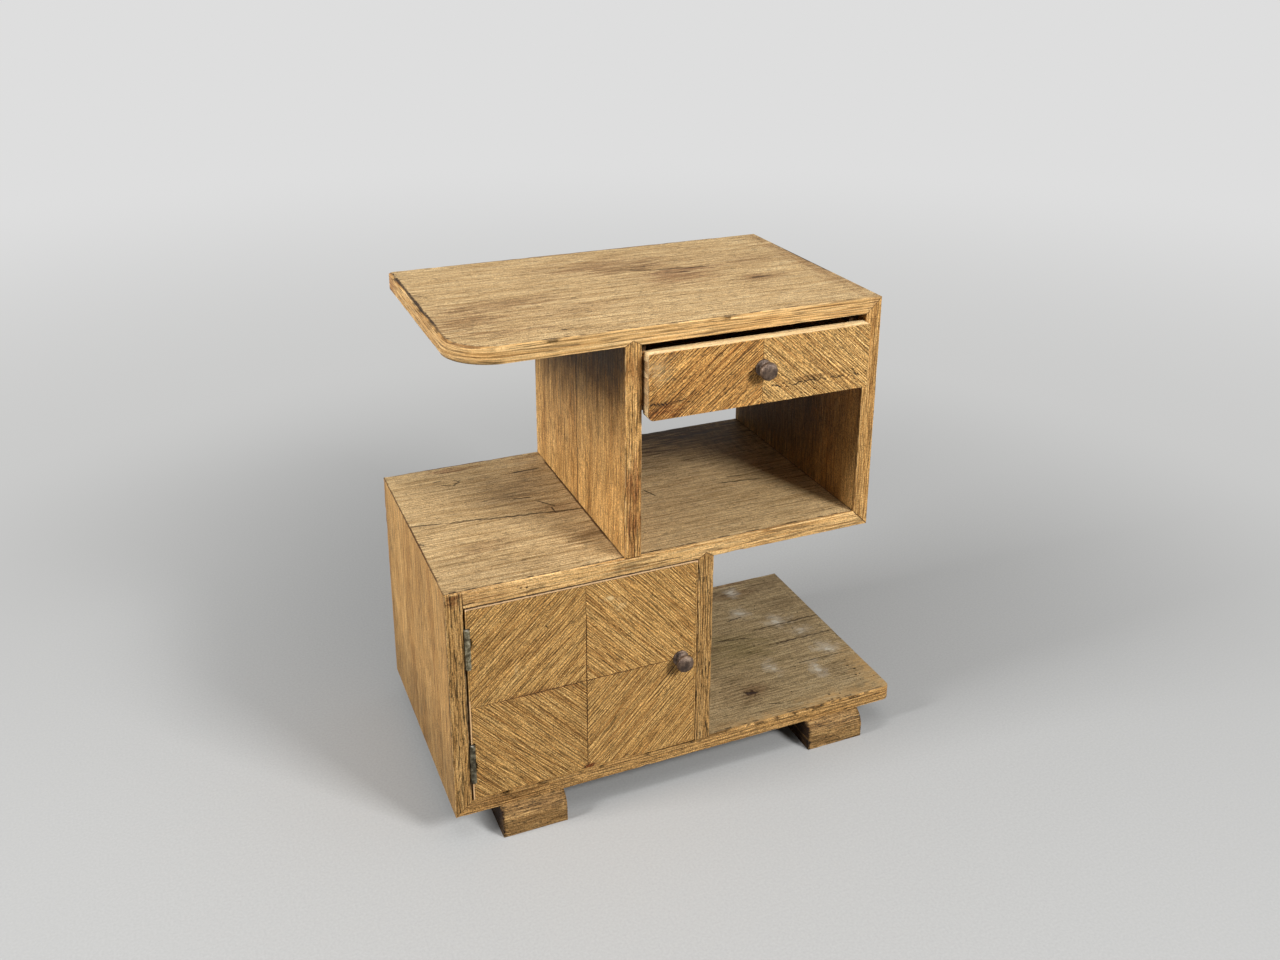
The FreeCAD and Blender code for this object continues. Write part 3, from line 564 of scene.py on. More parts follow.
MIDDLE_BAND_BLOTS = (
    ((30, 0, 321), (110, 20, 30), GREY_BROWN, 0.28),
    ((430, 0, 321), (170, 20, 30), GREY_BROWN, 0.10),
)
BASE_BAND_BLOTS = (((50, 0, 42), (100, 20, 20), GREY_BROWN, 0.32),)
DIVIDER_BLOTS = (
    ((223, -1, 400), (16, 12, 90), RED_BROWN, 0.62),
    ((223, -1, 560), (16, 12, 26), RED_BROWN, 0.35),
)
DOOR_BLOTS = (
    ((164.6, -1, 182), (1.0, 9, 180), DEEP_BROWN, 0.90),
    ((164, -1, 180.1), (220, 9, 1.0), DEEP_BROWN, 0.80),
    ((168, -1, 57), (10, 9, 9), RED_BROWN, 0.9),
    ((100, -1, 180), (60, 9, 8), RED_BROWN, 0.35),
)
DOOR_SCUFFS = (
    ((78, -1, 218), (5, 9, 14), TAN, 0.7),
    ((194, -1, 284), (14, 9, 7), TAN, 0.8),
    ((209, -1, 271), (12, 9, 8), TAN, 0.7),
)
DRAWER_BLOTS = (
    ((241, -12, 526), (9, 9, 12), DEEP_BROWN, 0.45),
    ((252, -12, 511), (44, 9, 12), RED_BROWN, 0.65),
    ((262, -12, 523), (34, 9, 6), DEEP_BROWN, 0.35),
    ((450, -12, 527), (50, 9, 5), DEEP_BROWN, 0.5),
)
DRAWER_SCUFFS = (((248, -12, 566), (26, 9, 30), TAN, 0.5),)


def splinters(start, end, height, count, seed):
    """A torn line in the drawer's veneer: short cracks that rise and fall one after another."""
    chance = random.Random(seed)
    step = (end - start) / count
    torn = []
    for i in range(count):
        left = start + i * step
        rise, fall = chance.uniform(-2.6, 2.6), chance.uniform(-2.6, 2.6)
        if chance.random() < 0.8:
            torn.append(((left, -12, height + rise),
                         (left + step * chance.uniform(0.7, 1.1), -12, height + fall),
                         chance.uniform(0.8, 1.35), 0.6, 0.8))
    return torn


def seams(start, end, count, seed):
    """A broken line of short cracks along a joint between two strips."""
    chance = random.Random(seed)
    start, run = Vector(start), Vector(end) - Vector(start)
    torn = []
    for i in range(count):
        share = (i + chance.uniform(0.0, 0.5)) / count
        length = chance.uniform(0.4, 1.1) / count
        if chance.random() < 0.7:
            torn.append((tuple(start + run * share), tuple(start + run * min(share + length, 1.0)),
                         chance.uniform(0.8, 1.4), 0.25, 0.6))
    return torn


def round_seams(centre, radius, start, end, count, seed):
    """The same round a corner, between two angles in degrees."""
    chance = random.Random(seed)
    torn = []
    for i in range(count):
        ends = []
        for step in (i, i + chance.uniform(0.6, 0.95)):
            turn = math.radians(start + (end - start) * step / count)
            ends.append((centre[0] + radius * math.cos(turn),
                         centre[1] + radius * math.sin(turn), centre[2]))
        torn.append((*ends, chance.uniform(0.8, 1.3), 0.25, 0.5))
    return torn


# Cracks cut into a face, in millimetres: both ends, half the width, the depth and how far
# they stray
CRACKS = {
    "top_board": (
        ((297, 222, 610), (337, 206, 610), 1.7, 0.4, 1.2),
        ((337, 206, 610), (409, 196, 610), 2.1, 0.5, 1.2),
        ((345, 190, 610), (376, 184, 610), 1.6, 0.3, 1.0),
        ((24, 214, 610), (39, 207, 610), 1.8, 0.4, 1.0),
        ((151, 30, 610), (157, 27, 610), 2.2, 0.4, 0.8),
        ((436, 130, 610), (462, 128, 610), 2.2, 0.3, 1.0),
        *seams((100, 5.5, 610), (538, 5.5, 610), 30, 34),
        *seams((28.5, 60, 610), (28.5, 316, 610), 26, 35),
        *round_seams((79, 56, 610), 50.5, 180, 262, 10, 36),
    ),
    "middle_board": (
        ((2, 173, 331), (37, 166, 331), 1.8, 0.5, 1.0),
        ((37, 166, 331), (90, 159, 331), 1.7, 0.5, 1.8),
        ((84, 158, 331), (150, 148, 331), 2.1, 0.6, 1.8),
        ((144, 150, 331), (212, 138, 331), 1.8, 0.6, 1.4),
        *seams((6, 5.5, 331), (515, 5.5, 331), 34, 32),
        ((177, 157, 331), (178, 139, 331), 1.2, 0.4, 0.4),
        ((161, 270, 331), (199, 271, 331), 2.0, 0.4, 1.0),
        ((65, 270, 331), (80, 261, 331), 1.2, 0.2, 1.0),
        ((78, 262, 331), (90, 271, 331), 1.3, 0.3, 0.6),
        ((90, 270, 331), (83, 278, 331), 1.2, 0.3, 0.6),
        ((57, 281, 331), (67, 281, 331), 1.2, 0.2, 0.6),
        ((140, 196, 331), (162, 192, 331), 1.8, 0.4, 1.0),
        ((166, 179, 331), (184, 157, 331), 1.4, 0.3, 1.0),
        ((2, 125, 331), (7, 121, 331), 1.8, 0.3, 0.4),
        ((303, 156, 331), (311, 135, 331), 1.4, 0.4, 0.8),
        ((402, 137, 331), (460, 129, 331), 1.6, 0.4, 1.0),
        ((420, 150, 331), (440, 147, 331), 1.3, 0.3, 1.0),
    ),
    "base_board": (
        ((490, 191, 53), (548, 193, 53), 1.4, 0.4, 1.6),
        ((545, 192, 53), (599, 194, 53), 1.7, 0.5, 1.4),
        ((503, 149, 53), (560, 150, 53), 1.8, 0.5, 1.8),
        ((556, 151, 53), (597, 150, 53), 1.4, 0.4, 1.6),
        ((431, 186, 53), (478, 177, 53), 1.4, 0.3, 1.4),
        ((468, 228, 53), (494, 230, 53), 1.6, 0.4, 1.2),
        ((506, 97, 53), (593, 94, 53), 1.1, 0.3, 1.4),
        ((430, 31, 53), (448, 25, 53), 1.3, 0.3, 1.0),
        ((411, 64, 53), (428, 59, 53), 2.2, 0.5, 1.0),
        *seams((312, 6, 53), (590, 6, 53), 22, 31),
        ((572, 65, 53), (573, 65, 53), 2.0, 0.6, 0.0),
        ((577, 55, 53), (578, 55, 53), 2.0, 0.6, 0.0),
        ((514, 18, 53), (515, 18, 53), 1.8, 0.6, 0.0),
        ((512, 7, 53), (513, 7, 53), 1.8, 0.6, 0.0),
        ((571, 42, 53), (572, 42, 53), 1.8, 0.6, 0.0),
    ),
    "middle_lipping": (
        ((87, 0, 322), (87.5, 0, 322), 1.4, 0.6, 0.0),
        ((94, 0, 321), (94.5, 0, 321), 1.5, 0.6, 0.0),
        ((16, 0, 315), (33, 0, 316), 0.9, 0.4, 0.4),
    ),
    "front_left_foot": (
        ((99, -13, 8), (99.5, -13, 8), 1.3, 0.6, 0.0),
        ((107, -13, 4), (107.5, -13, 4), 1.2, 0.6, 0.0),
    ),
    "front_right_foot": (
        ((493, -13, 13), (493.5, -13, 13), 1.2, 0.6, 0.0),
        ((501, -13, 11), (501.5, -13, 11), 1.2, 0.6, 0.0),
    ),
    "door_veneer_upper_left": (
        ((115, -1, 267), (118, -1, 263), 1.3, 0.4, 0.4),
    ),
    "door_veneer_lower_left": (
        ((156, -1, 52), (162, -1, 60), 1.2, 0.4, 0.6),
    ),
    "drawer_veneer_left": splinters(238, 287, 522.5, 11, 5),
    "drawer_veneer_right": splinters(390, 519, 522.0, 28, 2),
    "upper_divider": (
        ((213.5, 159, 335), (213.5, 159, 450), 1.7, 0.3, 0.8),
        ((213.5, 159, 448), (213.5, 158, 588), 1.7, 0.3, 0.8),
    ),
}


# Corners worn round: the plane's axes, then which end along each and the radius in millimetres,
# and the piece whose corner it is
FRONT_PLANE = (0, 2)
PLAN = (0, 1)
WORN_CORNERS = {
    "drawer_front_core": (FRONT_PLANE, ((0, 0, 7.0), (1, 0, 3.0), (0, 1, 2.5), (1, 1, 2.0)),
                          "drawer_front_core"),
    "drawer_veneer_left": (FRONT_PLANE, ((0, 0, 7.0), (0, 1, 4.0)), "drawer_veneer_left"),
    "drawer_veneer_right": (FRONT_PLANE, ((1, 0, 3.0), (1, 1, 2.0)), "drawer_veneer_right"),
    "top_edge_band": (PLAN, ((0, 1, 10.0),), "top_edge_band"),
    "top_board": (PLAN, ((0, 1, 10.0),), "top_edge_band"),
}


# Wooden pieces

WELD = 0.00001
FLAT = math.radians(0.5)
ARRIS_TURN = math.radians(35)
SHORT_EDGE = 0.009
SQUARE_ON = 0.9995
BRUISE_FREQ = 60.0
NICK_FREQ = 150.0
DENT_START = 0.12
DENT_DEPTH = 2.0
NICK_DEPTH = 0.5
TOUCH = 0.0005
JOINT_EASE = 0.35
CRACK_CUTS = 6
CORNER_CUTS = 4
CRACK_FREQ = 160.0
CRACK_SKIN = 0.003
REACH = 0.02
CRACK_FADE = 0.12
CRACK_END = 0.4
CRACK_DARK = 1.7


def neighbours(node):
    """The surfaces of the pieces of the same body that a piece may lie against."""
    low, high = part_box(node)
    trees = []
    for other, packed in NODES.items():
        if other == node or body_of(packed) != body_of(NODES[node]):
            continue
        start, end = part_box(other)
        if all(start[i] < high[i] + TOUCH and end[i] > low[i] - TOUCH for i in range(3)):
            mesh = packed.data
            trees.append(BVHTree.FromPolygons([vert.co for vert in mesh.vertices],
                                              [face.vertices for face in mesh.polygons]))
    return trees


def gridded(bm, pitch):
    """Cuts a piece into squares, so that its surface can be worn."""
    for axis in range(3):
        places = [vert.co[axis] for vert in bm.verts]
        low, high = min(places), max(places)
        count = int((high - low) / pitch)
        way = Vector(1.0 if i == axis else 0.0 for i in range(3))
        for step in range(1, count):
            cut = way * (low + (high - low) * step / count)
            bmesh.ops.bisect_plane(bm, geom=[*bm.verts, *bm.edges, *bm.faces], dist=WELD,
                                   plane_co=cut, plane_no=way)


def edges_of(faces):
    """Each edge of some faces once, always in the same order."""
    return list(dict.fromkeys(edge for face in faces for edge in face.edges))


def rounded_off(bm, axes, corners, low, high):
    """Wears corners round, seen across the plane of two axes."""
    for *ends, radius in corners:
        radius *= MM
        corner = [(high if end else low)[axis] for end, axis in zip(ends, axes)]
        inward = [-1 if end else 1 for end in ends]
        close = [face for face in bm.faces
                 if all(abs(face.calc_center_median()[axis] - corner[i]) < radius * 1.5
                        for i, axis in enumerate(axes))]
        bmesh.ops.subdivide_edges(bm, edges=edges_of(close), cuts=CORNER_CUTS, use_grid_fill=True)
        centre = [corner[i] + inward[i] * radius for i in range(2)]
        for vert in bm.verts:
            reach = [vert.co[axis] - centre[i] for i, axis in enumerate(axes)]
            away = math.hypot(*reach)
            if reach[0] * inward[0] < 0 and reach[1] * inward[1] < 0 and away > radius:
                for i, axis in enumerate(axes):
                    vert.co[axis] = centre[i] + reach[i] * radius / away


def cracked(bm, cracks, pitch, noted):
    """Sinks thin straying cracks into a face, each fading out at both ends."""
    ways = []
    for start, end, width, depth, stray in cracks:
        start, end = at(*start), at(*end)
        ways.append((start, end - start, width * MM, depth * MM, stray * MM))

    def offset(place, start, run, stray):
        share = (place - start).dot(run) / run.length_squared
        foot = start + run * min(max(share, 0.0), 1.0)
        if (place - foot).length > REACH:
            return None, share
        return place - foot - noise.noise_vector(foot * CRACK_FREQ) * stray, share

    near = []
    for face in bm.faces:
        middle = face.calc_center_median()
        for start, run, width, depth, stray in ways:
            gap, share = offset(middle, start, run, stray)
            if gap and gap.length < pitch + width + stray:
                near.append(face)
                break
    bmesh.ops.subdivide_edges(bm, edges=edges_of(near), cuts=CRACK_CUTS, use_grid_fill=True)
    bm.normal_update()
    sinks = []
    for vert in bm.verts:
        for start, run, width, depth, stray in ways:
            gap, share = offset(vert.co, start, run, stray)
            if gap is None:
                continue
            over = vert.normal.dot(gap)
            beside = (gap - vert.normal * over).length
            if abs(over) < CRACK_SKIN + stray and beside < width:
                fade = min(share, 1 - share, CRACK_FADE) / CRACK_FADE if run.length > width else 1.0
                down = (1 - beside / width) * (CRACK_END + (1 - CRACK_END) * max(fade, 0.0))
                sinks.append((vert, down, depth))
    for vert, down, depth in sinks:
        vert[noted] = max(vert[noted], min(down * CRACK_DARK, 1.0))
        vert.co -= vert.normal * (down * depth)


def eased(node, finish, radius=0.0006, pitch=0.007, bruise=0.0005):
    """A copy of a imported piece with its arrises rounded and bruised, and its cracks cut in."""
    bm = bmesh.new()
    bm.from_mesh(NODES[node].data)
    arris = bm.faces.layers.float.new("arris")
    joint = bm.faces.layers.float.new("joint")
    cut = bm.verts.layers.float.new("cut")
    bmesh.ops.remove_doubles(bm, verts=bm.verts, dist=WELD)
    bmesh.ops.dissolve_limit(bm, angle_limit=FLAT, verts=bm.verts, edges=bm.edges)
    edges = [edge for edge in bm.edges if edge.is_manifold and edge.calc_face_angle() > ARRIS_TURN
             and edge.calc_length() > SHORT_EDGE]
    rounds = bmesh.ops.bevel(bm, geom=edges, offset=radius, offset_type="OFFSET", segments=2,
                             profile=0.5, affect="EDGES", clamp_overlap=True)
    for face in rounds["faces"]:
        face[arris] = 1.0
    gridded(bm, pitch)
    bm.normal_update()
    trees = neighbours(node)
    for face in bm.faces:
        if face[arris]:
            middle = face.calc_center_median()
            face[joint] = any(tree.find_nearest(middle, TOUCH)[0] for tree in trees)
    moves = []
    for vert in bm.verts:
        rounded = [face for face in vert.link_faces if face[arris]]
        if rounded:
            dent = max(noise.noise(vert.co * BRUISE_FREQ) - DENT_START, 0.0) * DENT_DEPTH
            nick = max(noise.noise(vert.co * NICK_FREQ), 0.0) * NICK_DEPTH
            ease = JOINT_EASE if any(face[joint] for face in rounded) else 1.0
            moves.append((vert, vert.normal * (bruise * ease * (dent + nick))))
    for vert, move in moves:
        vert.co -= move
    low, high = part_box(node)
    if node in WORN_CORNERS:
        axes, corners, whose = WORN_CORNERS[node]
        rounded_off(bm, axes, corners, *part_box(whose))
    if node in CRACKS:
        cracked(bm, CRACKS[node], pitch, cut)
    for vert in bm.verts:
        vert.co = [min(max(vert.co[i], low[i]), high[i]) for i in range(3)]
    bm.normal_update()
    for face in bm.faces:
        face.smooth = max(abs(n) for n in face.normal) < SQUARE_ON
    mesh = bpy.data.meshes.new(node + "_worn")
    bm.to_mesh(mesh)
    bm.free()
    if "custom_normal" in mesh.attributes:
        mesh.attributes.remove(mesh.attributes["custom_normal"])
    mesh.materials.clear()
    mesh.materials.append(finish)
    piece = bpy.data.objects.new(node + "_worn", mesh)
    bpy.context.scene.collection.objects.link(piece)
    settle(piece, node)
    return piece


def settle(piece, node):
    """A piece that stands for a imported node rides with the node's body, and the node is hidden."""
    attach(piece, body_of(NODES[node])[0])
    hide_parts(node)


# How steeply the grain rises to the right, in degrees
STRIP_SLANT = 42.0
DOOR_SLANTS = {
    "door_veneer_upper_left": 44.0,
    "door_veneer_upper_right": -48.0,
    "door_veneer_lower_left": -47.0,
    "door_veneer_lower_right": 46.0,
}
DRAWER_SLANTS = {"drawer_veneer_left": 40.0, "drawer_veneer_right": -42.0}


def shaded(tones, share):
    """A table of tones, all darker by the same share."""
    return tuple(tuple(level * share for level in tone) for tone in tones)


def board_finishes():
    """Each visible board's, strip's and leaf's own oak, by node."""
    oaks = {}
    oaks["top_board"] = oak("oak_top", ACROSS_BOARD, TOP_TONES, 3.0, marked(TOP_BLOTS),
                            bands=(0.25, 0.016, 0.12), ridges=(0.060, 0.0014),
                            comb=(0.0110, 0.14, 0.04), pores=(0.010, 0.0016, 0.46), patches=0.03,
                            relief=0.00012, rough=0.66, grit=0.70)
    oaks["middle_board"] = oak("oak_ledge", ACROSS_BOARD, LEDGE_TONES, 8.0, marked(LEDGE_BLOTS),
                               bands=(0.25, 0.016, 0.08), ridges=(0.060, 0.0013),
                               comb=(0.0120, 0.16, 0.03), pores=(0.011, 0.0016, 0.42), patches=0.02,
                               relief=0.0001, rough=0.62, grit=0.60, holes=0.5)
    oaks["base_board"] = oak("oak_shelf", ACROSS_BOARD, SHELF_TONES, 15.0,
                             marked(SHELF_BLOTS, SHELF_SCUFFS),
                             bands=(0.25, 0.018, 0.12), ridges=(0.050, 0.0014),
                             comb=(0.0130, 0.16, 0.03), pores=(0.008, 0.0016, 0.45), patches=0.05,
                             relief=0.0001, grit=0.60, holes=0.95)
    sides = (("left_side", 0.97), ("upper_divider", 1.05), ("right_side", 1.0),
             ("lower_divider", 1.0))
    for i, (node, share) in enumerate(sides):
        coarse = i < 2
        oaks[node] = oak("oak_" + node, UPRIGHT_BOARD, shaded(SIDE_TONES, share), 21.0 + 7 * i,
                         painted_shades(SIDE_PAINTED_SHADE[node]),
                         bands=(0.25, 0.026, 0.40), ridges=(0.040, 0.0022 if coarse else 0.0012),
                         comb=(0.0056, 0.44, 0.16) if coarse else (0.0042, 0.30, 0.14),
                         pores=(0.018, 0.0017, 0.55) if coarse else (0.010, 0.0011, 0.45),
                         patches=0.10, grit=0.75)
    edges = (("top_edge_band", ROUND_THE_EDGE, BAND_TONES, BAND_BLOTS, (0.0034, 0.50, 0.18),
              (0.030, 0.0011, 0.50), 0.25, 0.1),
             ("middle_lipping", ACROSS_BOARD, MIDDLE_BAND_TONES, MIDDLE_BAND_BLOTS,
              (0.0034, 0.48, 0.16), (0.016, 0.0012, 0.50), 0.55, 0.3),
             ("base_lipping", ROUND_THE_EDGE, DULL_LIPPING_TONES, BASE_BAND_BLOTS,
              (0.0036, 0.54, 0.24), (0.012, 0.0012, 0.62), 0.85, 0.7))
    for i, (node, grain, tones, blots, comb, pores, grit, holes) in enumerate(edges):
        oaks[node] = oak("oak_" + node, grain, tones, 50.0 + 7 * i, marked(blots),
                         bands=(0.25, 0.005, 0.20), ridges=(0.10, 0.0013), comb=comb, pores=pores,
                         relief=0.0005, wear=0.15 if blots is BAND_BLOTS else 0.45, straight=0.30,
                         grit=grit, holes=holes)
    strips = (("left_side_lipping", shaded(DULL_LIPPING_TONES, 0.96), STRIP_STAIN_AND_GAP_SHADE, 0.74),
              ("right_side_lipping", LIPPING_TONES, (), 0.44),
              ("upper_divider_lipping", LIPPING_TONES, DIVIDER_BLOTS, 0.60),
              ("lower_divider_lipping", shaded(DULL_LIPPING_TONES, 0.95), (), 0.80))
    for i, (node, tones, blots, depth) in enumerate(strips):
        oaks[node] = oak("oak_" + node, UPRIGHT_STRIP, tones, 80.0 + 7 * i, marked(blots),
                         bands=(0.12, 0.006, 0.30), ridges=(0.035, 0.0012),
                         comb=(0.0036, depth, 0.24), pores=(0.010, 0.0013, depth), relief=0.0006,
                         wear=0.45, straight=0.10, grit=0.60)
    feet = ("front_left_foot", "front_right_foot", "rear_left_foot", "rear_right_foot")
    for i, node in enumerate(feet):
        oaks[node] = oak("oak_" + node, ACROSS_BOARD, FOOT_TONES, 110.0 + 7 * i, marked(FOOT_BLOTS),
                         bands=(0.10, 0.008, 0.08), ridges=(0.045, 0.0012), comb=(0.0034, 0.40, 0.20),
                         pores=(0.007, 0.0012, 0.66), patches=0.05, relief=0.0008,
                         straight=0.12, grit=0.65, holes=0.6)
    for i, (node, degrees) in enumerate(DOOR_SLANTS.items()):
        rising = degrees > 0
        tones = shaded(DOOR_TONES, 0.97 if node == "door_veneer_lower_left" else 1.0)
        oaks[node] = oak("oak_" + node, slanting(degrees), tones, 140.0 + 7 * i,
                         marked(DOOR_BLOTS, DOOR_SCUFFS), bands=(0.20, 0.012, 0.04),
                         ridges=(0.060, 0.0011), comb=(0.0031, 0.60 if rising else 0.48, 0.42),
                         pores=(0.012, 0.0009, 0.55), patches=0.02, relief=0.0010,
                         straight=0.16, grit=0.80)
    leaves = (("drawer_veneer_left", DRAWER_LEFT_TONES, 180.0, 0.0014, (0.0030, 0.72, 0.42)),
              ("drawer_veneer_right", DRAWER_RIGHT_TONES, 187.0, 0.0010, (0.0030, 0.48, 0.30)))
    for node, tones, seed, ridge, comb in leaves:
        oaks[node] = oak("oak_" + node, slanting(DRAWER_SLANTS[node]), tones, seed,
                         marked(DRAWER_BLOTS, DRAWER_SCUFFS),
                         bands=(0.20, 0.012, 0.08), ridges=(0.070, ridge), comb=comb,
                         pores=(0.009, 0.0012, 0.60), patches=0.05, relief=0.0010,
                         straight=0.12, grit=0.80)
    oaks["drawer_front_core"] = oak("oak_drawer_front", ACROSS_BOARD, BARE_TONES, 200.0)
    oaks["door_edge_strips"] = oak("oak_door_edge", slanting(STRIP_SLANT), DOOR_TONES, 210.0,
                                   bare_rim)
    return oaks


THIN = (*DOOR_SLANTS, *DRAWER_SLANTS, "door_edge_strips")


def make_boards():
    for node, finish in board_finishes().items():
        if node in THIN:
            eased(node, finish, radius=0.00025, pitch=0.006, bruise=0.0002)
        elif "lipping" in node or "band" in node:
            eased(node, finish, pitch=0.004)
        else:
            eased(node, finish)


def refinish(nodes, finish):
    """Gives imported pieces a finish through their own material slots."""
    for node in nodes:
        mesh = NODES[node].data
        mesh.materials.clear()
        mesh.materials.append(finish)


PITS_PER_CLOUD = 12
HINGE_TONES = (26, 20, 12), (97, 88, 64), (198, 191, 162)
PIN_TONES = (80, 76, 66), (140, 136, 124), (190, 186, 174)
SCREW_TONES = (92, 84, 70), (140, 128, 104), (176, 164, 138)
CATCH_TONES = (120, 92, 48), (168, 136, 78), (204, 176, 118)
KNOB_TONES = (38, 28, 22), (84, 66, 53), (136, 116, 98)


def metal(name, tones, metallic, rough, scale, relief=0.0001):
    """Patinated metal, clouded and finely pitted."""
    finish = Finish(name)
    clouds = finish.noise(finish.place, scale, 4.0, 0.6)
    pits = finish.noise(finish.place, scale * PITS_PER_CLOUD, 3.0, 0.6)
    colour = finish.tones(clouds * 0.7 + pits * 0.3, TONE_PLACES, tones)
    return finish.finished(colour, clouds * 0.3 + rough, pits, relief, Metallic=metallic)


def make_inner_pieces():
    box_oak = oak("drawer_box_oak", BACKWARD_BOARD, BOX_TONES, seed=230.0)
    across = oak("drawer_back_oak", ACROSS_BOARD, BOX_TONES, seed=233.0)
    ply = oak("thin_ply", ACROSS_BOARD, PLY_TONES, 240.0, bands=(0.20, 0.020, 0.25),
              comb=(0.0060, 0.12, 0.05), pores=(0.006, 0.0010, 0.20), rough=0.66)
    runner = oak("runner_beech", BACKWARD_BOARD, RUNNER_TONES, seed=250.0)
    lining = oak("door_lining", UPRIGHT_STRIP, SIDE_TONES, seed=260.0)
    refinish(("drawer_left_side", "drawer_right_side"), box_oak)
    refinish(("drawer_back",), across)
    refinish(("drawer_bottom", "cupboard_back_panel", "bay_back_panel"), ply)
    refinish(("left_runner", "right_runner", "left_kicker", "right_kicker", "drawer_stops"), runner)
    refinish(("door_stop_strip", "door_back_veneer", "door_core"), lining)
    refinish(("divider_dowels",), oak("dowel_beech", UPRIGHT_STRIP, BOX_TONES, seed=270.0))


def make_metal():
    steel = metal("hinge_steel", HINGE_TONES, 0.55, 0.42, 180.0)
    refinish(("upper_hinge_cabinet_leaf", "upper_hinge_door_leaf"), steel)
    dark_steel = metal("dark_hinge_steel", shaded(HINGE_TONES, 0.72), 0.55, 0.42, 180.0)
    refinish(("lower_hinge_cabinet_leaf", "lower_hinge_door_leaf"), dark_steel)
    refinish(("upper_hinge_pin", "lower_hinge_pin"), metal("pin_steel", PIN_TONES, 0.8, 0.35, 200.0))
    screws = metal("screw_steel", SCREW_TONES, 0.8, 0.38, 250.0)
    refinish(("foot_screws", "back_panel_pins", "runner_screws", "hinge_cabinet_screws",
              "hinge_door_screws", "door_knob_screw", "drawer_knob_screw"), screws)
    catch = metal("catch_brass", CATCH_TONES, 0.9, 0.32, 200.0)
    refinish(("catch_barrel", "catch_ball", "catch_spring", "strike_plate"), catch)


# A knob's outline: how far out from the board and how far from its middle, in millimetres
KNOB_PROFILE = (
    (0.0, 0.0), (0.0, 10.2), (1.4, 10.2), (2.0, 9.9), (2.4, 9.2), (2.9, 7.4), (3.9, 5.7), (5.4, 4.85),
    (7.0, 4.8), (8.4, 5.5), (9.5, 6.9), (10.0, 8.2), (10.8, 9.7), (12.0, 10.6), (13.4, 11.0),
    (14.8, 10.9), (16.2, 10.3), (17.4, 9.3), (18.3, 7.8), (18.8, 6.0), (19.0, 3.4), (19.0, 0.0),
)
KNOB_SIDES = 72


def make_knob(node, finish):
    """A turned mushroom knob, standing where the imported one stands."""
    low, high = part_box(node)
    middle_x = (low.x + high.x) / 2
    middle_z = (low.z + high.z) / 2
    bm = bmesh.new()
    rings = []
    for reach, radius in KNOB_PROFILE:
        if radius == 0.0:
            rings.append([bm.verts.new((middle_x, high.y - reach * MM, middle_z))])
            continue
        ring = []
        for i in range(KNOB_SIDES):
            turn = 2 * math.pi * i / KNOB_SIDES
            ring.append(bm.verts.new((middle_x + radius * MM * math.cos(turn), high.y - reach * MM,
                                      middle_z + radius * MM * math.sin(turn))))
        rings.append(ring)
    for one, two in zip(rings, rings[1:]):
        for i in range(KNOB_SIDES):
            j = (i + 1) % KNOB_SIDES
            if len(one) == 1:
                bm.faces.new((one[0], two[j], two[i]))
            elif len(two) == 1:
                bm.faces.new((one[i], one[j], two[0]))
            else:
                bm.faces.new((one[i], one[j], two[j], two[i]))
    bmesh.ops.recalc_face_normals(bm, faces=bm.faces)
    for face in bm.faces:
        face.smooth = True
    mesh = bpy.data.meshes.new(node + "_turned")
    bm.to_mesh(mesh)
    bm.free()
    mesh.materials.append(finish)
    piece = bpy.data.objects.new(node + "_turned", mesh)
    bpy.context.scene.collection.objects.link(piece)
    settle(piece, node)


# Camera, floor and lamps

FLOOR_GRAIN_FREQ = 350.0
FLOOR_PLACES = (0.3, 0.7)
FLOOR_TONES = (158, 158, 157), (166, 166, 165)
FLOOR_BOUNCE = (124, 122, 118)
FLOOR_MIDDLE = (201, 201, 200)
FLOOR_FAR = (222, 222, 222)
FLOOR_FALL = (1.0, 4.0)
FLOOR_BLEND = (0.45, 1.5)
ROOM_LIGHT = 0.10
ROOM_TONE = (226, 228, 230)

# Soft lamps: the place, how wide and how strong, all facing one spot
LAMPS = {
    "front_right_lamp": ((1.35, -2.5, 2.10), 0.8, 118.0),
    "left_lamp": ((-2.5, -0.10, 1.80), 0.75, 88.0),
    "overhead_lamp": ((0.2, -0.6, 3.0), 2.4, 32.0),
}
LAMP_SPOT = Vector((0.0, 0.0, 0.3))


def make_camera():
    """Looks at the cabinet from the photograph's place."""
    data = bpy.data.cameras.new("camera")
    data.sensor_width = SENSOR_W
    data.lens = FOCAL / PHOTO_W * SENSOR_W
    data.shift_y = -AXIS_RISE / PHOTO_W
    view = Vector((math.sin(CAMERA_YAW) * math.cos(CAMERA_DIP),
                   math.cos(CAMERA_YAW) * math.cos(CAMERA_DIP), -math.sin(CAMERA_DIP)))
    right = Vector((math.cos(CAMERA_YAW), -math.sin(CAMERA_YAW), 0.0))
    level = Matrix((right, right.cross(view), -view)).transposed()
    turned = level @ Matrix.Rotation(CAMERA_ROLL, 3, "Z")
    camera = bpy.data.objects.new("camera", data)
    camera.matrix_world = Matrix.Translation(at(CAMERA_X, CAMERA_Y, CAMERA_Z)) @ turned.to_4x4()
    bpy.context.scene.collection.objects.link(camera)
    bpy.context.scene.camera = camera


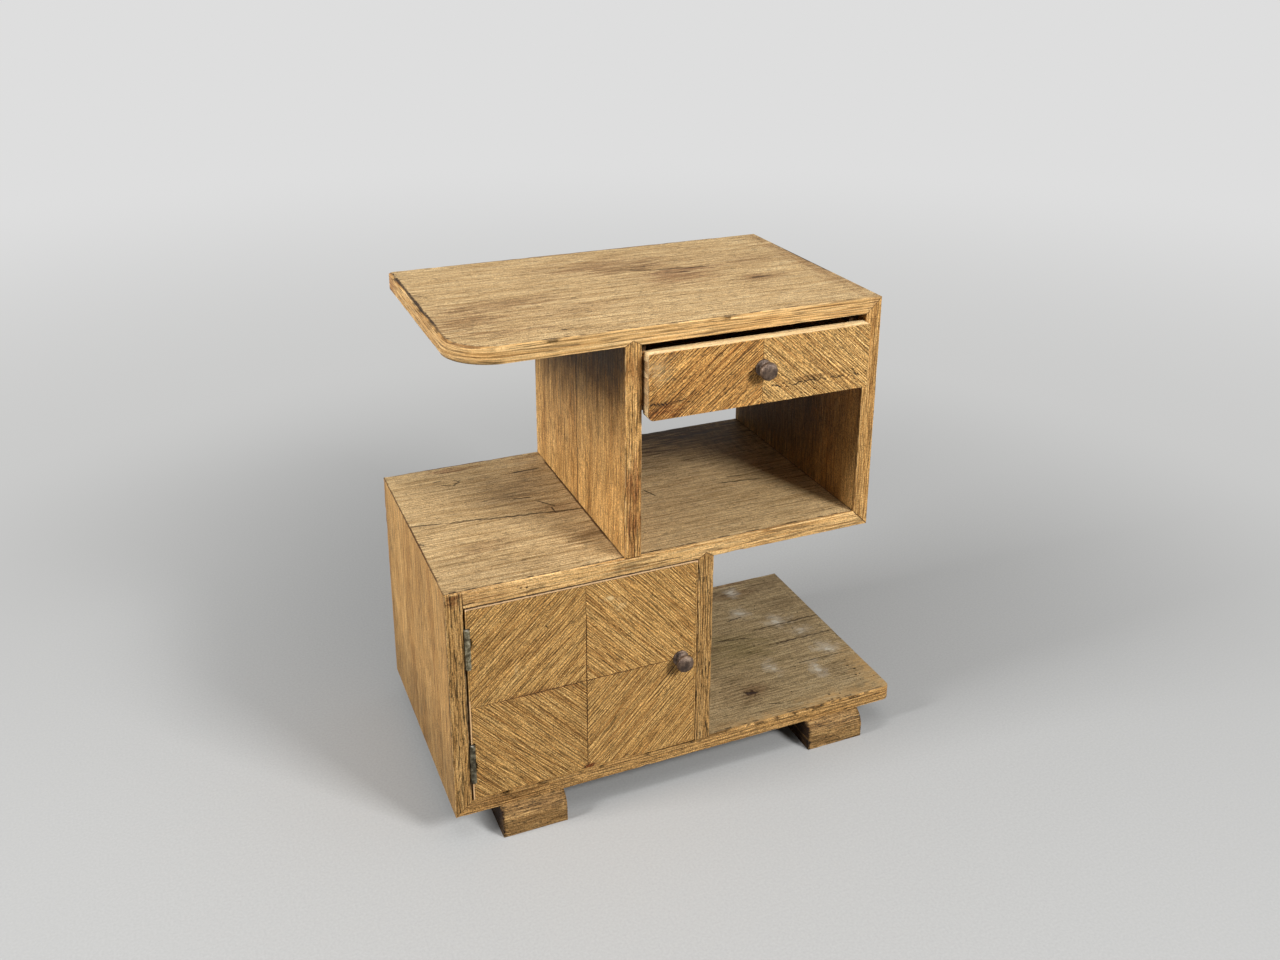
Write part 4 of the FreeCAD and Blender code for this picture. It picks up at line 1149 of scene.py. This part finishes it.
def make_floor():
    """A pale floor: lit and shadowed round the cabinet, evenly pale beyond, and dimmer to
    everything but the eye, so that it throws little light back."""
    mesh = bpy.data.meshes.new("floor")
    corners = [(-FLOOR_REACH, -FLOOR_REACH, 0), (FLOOR_REACH, -FLOOR_REACH, 0),
               (FLOOR_REACH, FLOOR_REACH, 0), (-FLOOR_REACH, FLOOR_REACH, 0)]
    mesh.from_pydata(corners, [], [(0, 1, 2, 3)])
    finish = Finish("floor_plaster")
    grains = finish.noise(finish.place, FLOOR_GRAIN_FREQ, 2.0, 0.6)
    colour = finish.tones(grains, FLOOR_PLACES, FLOOR_TONES)
    mesh.materials.append(finish.finished(colour, 0.9))
    seen = finish.looked_at()
    reach = finish.add("ShaderNodeVectorMath", {"operation": "LENGTH"}, (finish.place,))
    dim = finish.add("ShaderNodeBsdfDiffuse", {}, {"Color": paint(*FLOOR_BOUNCE)}, "BSDF")
    middle = finish.add("ShaderNodeEmission", {}, {"Color": paint(*FLOOR_MIDDLE)})
    far = finish.add("ShaderNodeEmission", {}, {"Color": paint(*FLOOR_FAR)})
    glow = finish.add("ShaderNodeMixShader", {}, (reach.ramp(*FLOOR_FALL), middle, far))
    near = Socket(finish, finish.shader.outputs["BSDF"])
    surface = finish.add("ShaderNodeMixShader", {}, (reach.ramp(*FLOOR_BLEND), near, glow))
    surface = finish.add("ShaderNodeMixShader", {}, (seen, dim, surface))
    finish.shown(surface, "Material Output")
    floor = bpy.data.objects.new("floor", mesh)
    bpy.context.scene.collection.objects.link(floor)


def make_lamp(name, place, size, power):
    """A square soft lamp that faces the lamps' spot."""
    data = bpy.data.lights.new(name, "AREA")
    data.size = size
    data.energy = power
    lamp = bpy.data.objects.new(name, data)
    lamp.location = place
    lamp.rotation_euler = (LAMP_SPOT - Vector(place)).to_track_quat("-Z", "Y").to_euler()
    bpy.context.scene.collection.objects.link(lamp)


def make_light():
    for name, (place, size, power) in LAMPS.items():
        make_lamp(name, place, size, power)
    world = bpy.data.worlds.new("room")
    room = Shading(world)
    sockets = {"Color": paint(*ROOM_TONE), "Strength": ROOM_LIGHT}
    dim = room.add("ShaderNodeBackground", {}, sockets)
    pale = room.add("ShaderNodeBackground", {}, {"Color": paint(*FLOOR_FAR)})
    room.shown(room.add("ShaderNodeMixShader", {}, (room.looked_at(), dim, pale)), "World Output")
    bpy.context.scene.world = world


make_camera()
make_floor()
make_light()
make_boards()
make_inner_pieces()
make_metal()
brass = metal("knob_brass", KNOB_TONES, 0.45, 0.28, 120.0, relief=0.0004)
make_knob("door_knob", brass)
make_knob("drawer_knob", brass)
bpy.context.scene.view_settings.view_transform = "Standard"
bpy.context.view_layer.update()
